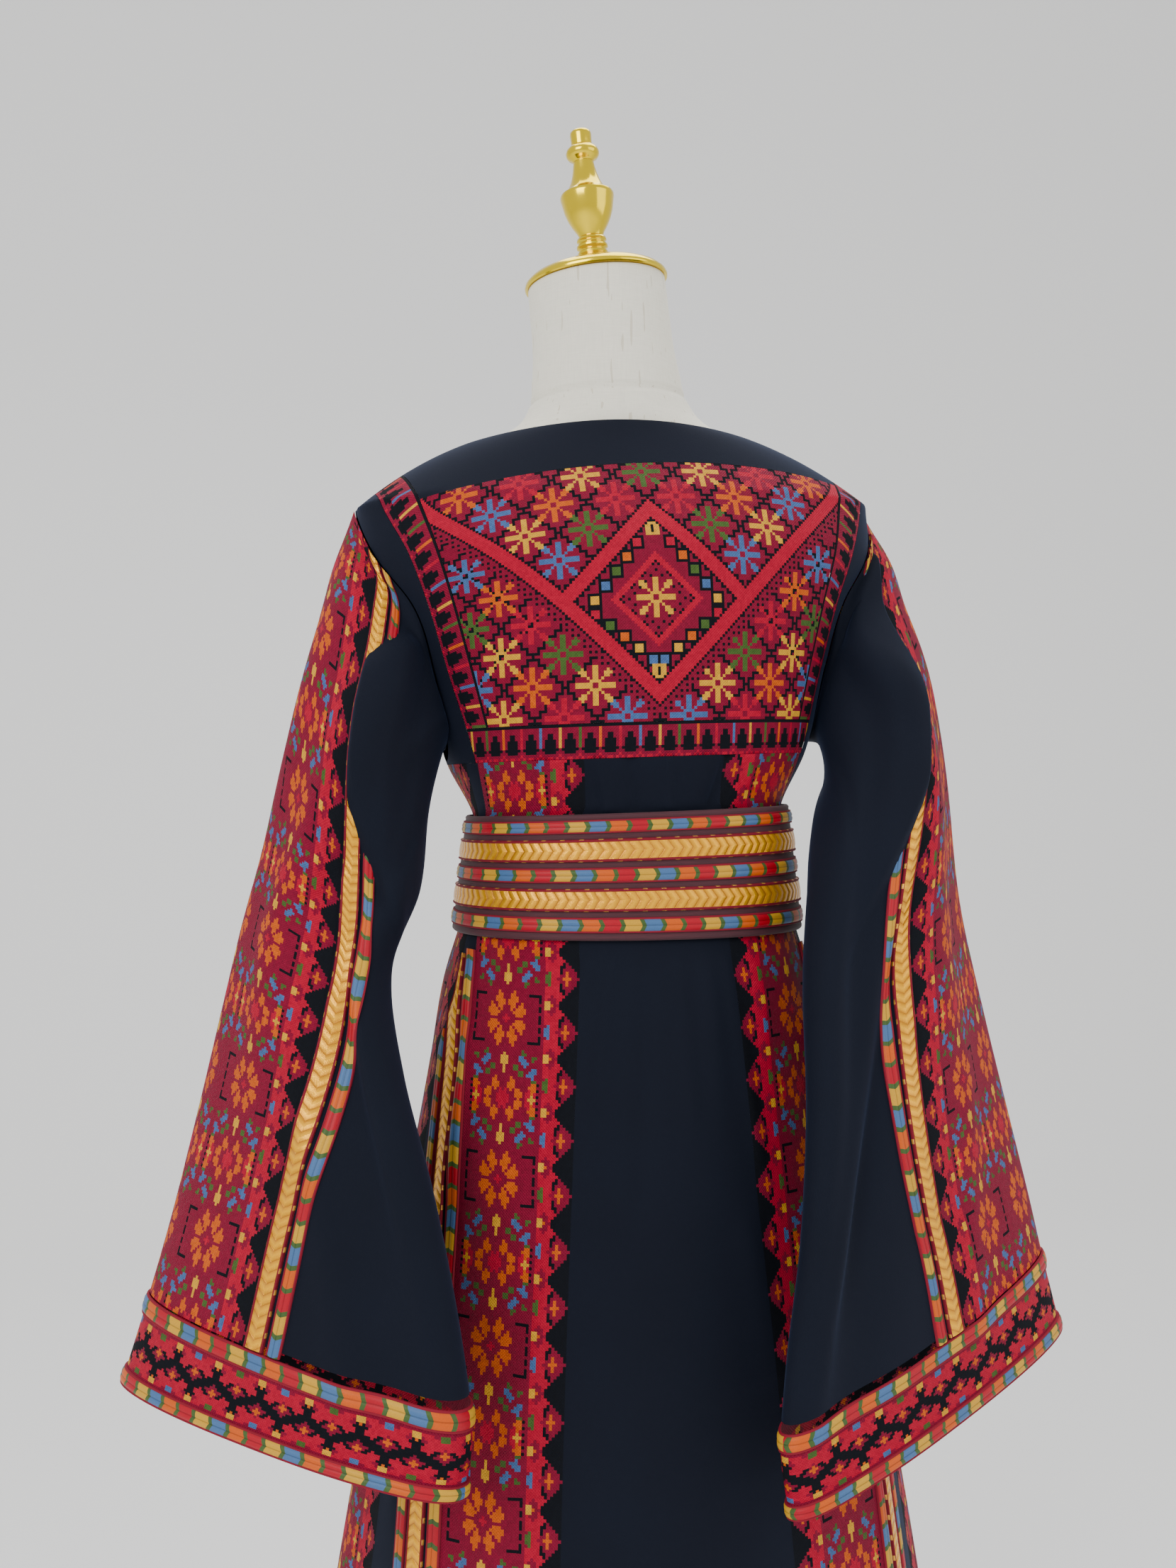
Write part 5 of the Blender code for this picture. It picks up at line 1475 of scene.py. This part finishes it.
for side, sign, _, _ in SLEEVES:
    edge, rings = sleeve_forms[side]
    used = slice(None, None, 2)
    rings = tuple(each[used] for each in rings)
    first = edge[used] + SLEEVE_BAND_INSET
    second = first + BRAID_WIDTH + TRIM_SPACE
    for name, low, width, braid in (("sleeve_braid_", first, BRAID_WIDTH, True),
                                    ("sleeve_ribbon_", second, RIBBON_WIDTH, False)):
        points, normals = cut_panel(rings, shared(low, low + width, 3))
        sew_trim(name + side, points, normals, braid, flip=sign > 0)
    for name, low in (("cuff_ribbon_upper_", 0), ("cuff_ribbon_lower_", CUFF_ROWS - CUFF_EDGE)):
        rows = [low, low + CUFF_EDGE // 2, low + CUFF_EDGE]
        points, normals = (each[rows].transpose(1, 0, 2) for each in cuff_forms[side])
        sew_trim(name + side, points, normals, flip=sign < 0)


# Belt
# A stiff wide belt of dark maroon ribbed cloth, its edges turned in, with three satin ribbons and two
# gold braids sewn round it one above another.
BELT_RINGS = (
    # height, half_width, back, front
    (1.0365, 0.1450, 0.1075, 0.1045),
    (1.1355, 0.1333, 0.1022, 0.0982),
)
BELT_THICK, BELT_EDGE, BELT_COLUMNS = 0.0028, 0.0005, 241
BELT_BANDS = (
    # name, low, high, rise
    ("ribbon_bottom", 0.006, 0.018, 0.0020),
    ("braid_lower", 0.0225, 0.0405, 0.0024),
    ("ribbon_middle", 0.0450, 0.0570, 0.0020),
    ("braid_upper", 0.0615, 0.0795, 0.0024),
    ("ribbon_top", 0.0840, 0.0945, 0.0020),
)


def belt_ring(height, out):
    """Straight-sided superellipse rings round the waist, moved out, from the middle of the front."""
    turn = np.linspace(-np.pi, np.pi, BELT_COLUMNS)[None, :]
    height = np.asarray(height, float)[:, None]
    rings = np.array(BELT_RINGS)
    wide, back, front = (np.interp(height, rings[:, 0], rings[:, k]) for k in (1, 2, 3))
    across, along = superellipse(turn, wide, back, front, 2 / ROUNDNESS)
    points = np.stack([across, along, height + 0 * across], -1)
    ahead, behind = np.roll(points[:, :-1], -1, axis=1), np.roll(points[:, :-1], 1, axis=1)
    normals = np.cross(ahead - behind, (0, 0, 1))
    normals = unit(np.concatenate([normals, normals[:, :1]], axis=1))
    return points + normals * out, normals


def belt_backing():
    """Dark maroon cloth with a fine rib round the waist, with painted shade in its grooves."""
    backing = Finish("belt cloth", roughness=0.75, sheen_weight=0.1)
    place = backing.object_place()
    rib = backing.noise(backing.stretched(place, (60, 60, 1400)), 1.0, 2.0)
    # painted shade: the colour follows the rib's height and is darker in its grooves
    backing.put(**{"Base Color": backing.mix(rib, (0.020, 0.0045, 0.0090), (0.085, 0.010, 0.020))})
    backing.bump(rib, 0.4, 0.0006)
    return backing


belt_finish = belt_backing()
levels = np.array([0.0, 0.0012, 0.0030, 0.0050, 0.0500, 0.0960, 0.0975, 0.0990]) + BELT_BOTTOM
outer, normals = belt_ring(levels, BELT_THICK)
rounding = np.array([-0.0010, 0.0002, 0.0004, 0.0, 0.0, 0.0, 0.0004, -0.0008])[:, None, None]
outer = outer + normals * rounding
inner, _ = belt_ring([BELT_BOTTOM + BELT_EDGE, BELT_TOP - BELT_EDGE], 0.0)
belt_points = np.concatenate([inner[:1], outer, inner[1:]])
belt_cloth = add_piece("belt", lean(belt_points), belt_finish, replaces=["belt"])
for name, low, high, rise in BELT_BANDS:
    points, normals = belt_ring(BELT_BOTTOM + np.array([low, (low + high) / 2, high]), BELT_THICK)
    points, normals = points.transpose(1, 0, 2), normals.transpose(1, 0, 2)
    sew_trim("belt_" + name, points, normals, name.startswith("braid"), flip=True, rise=rise)
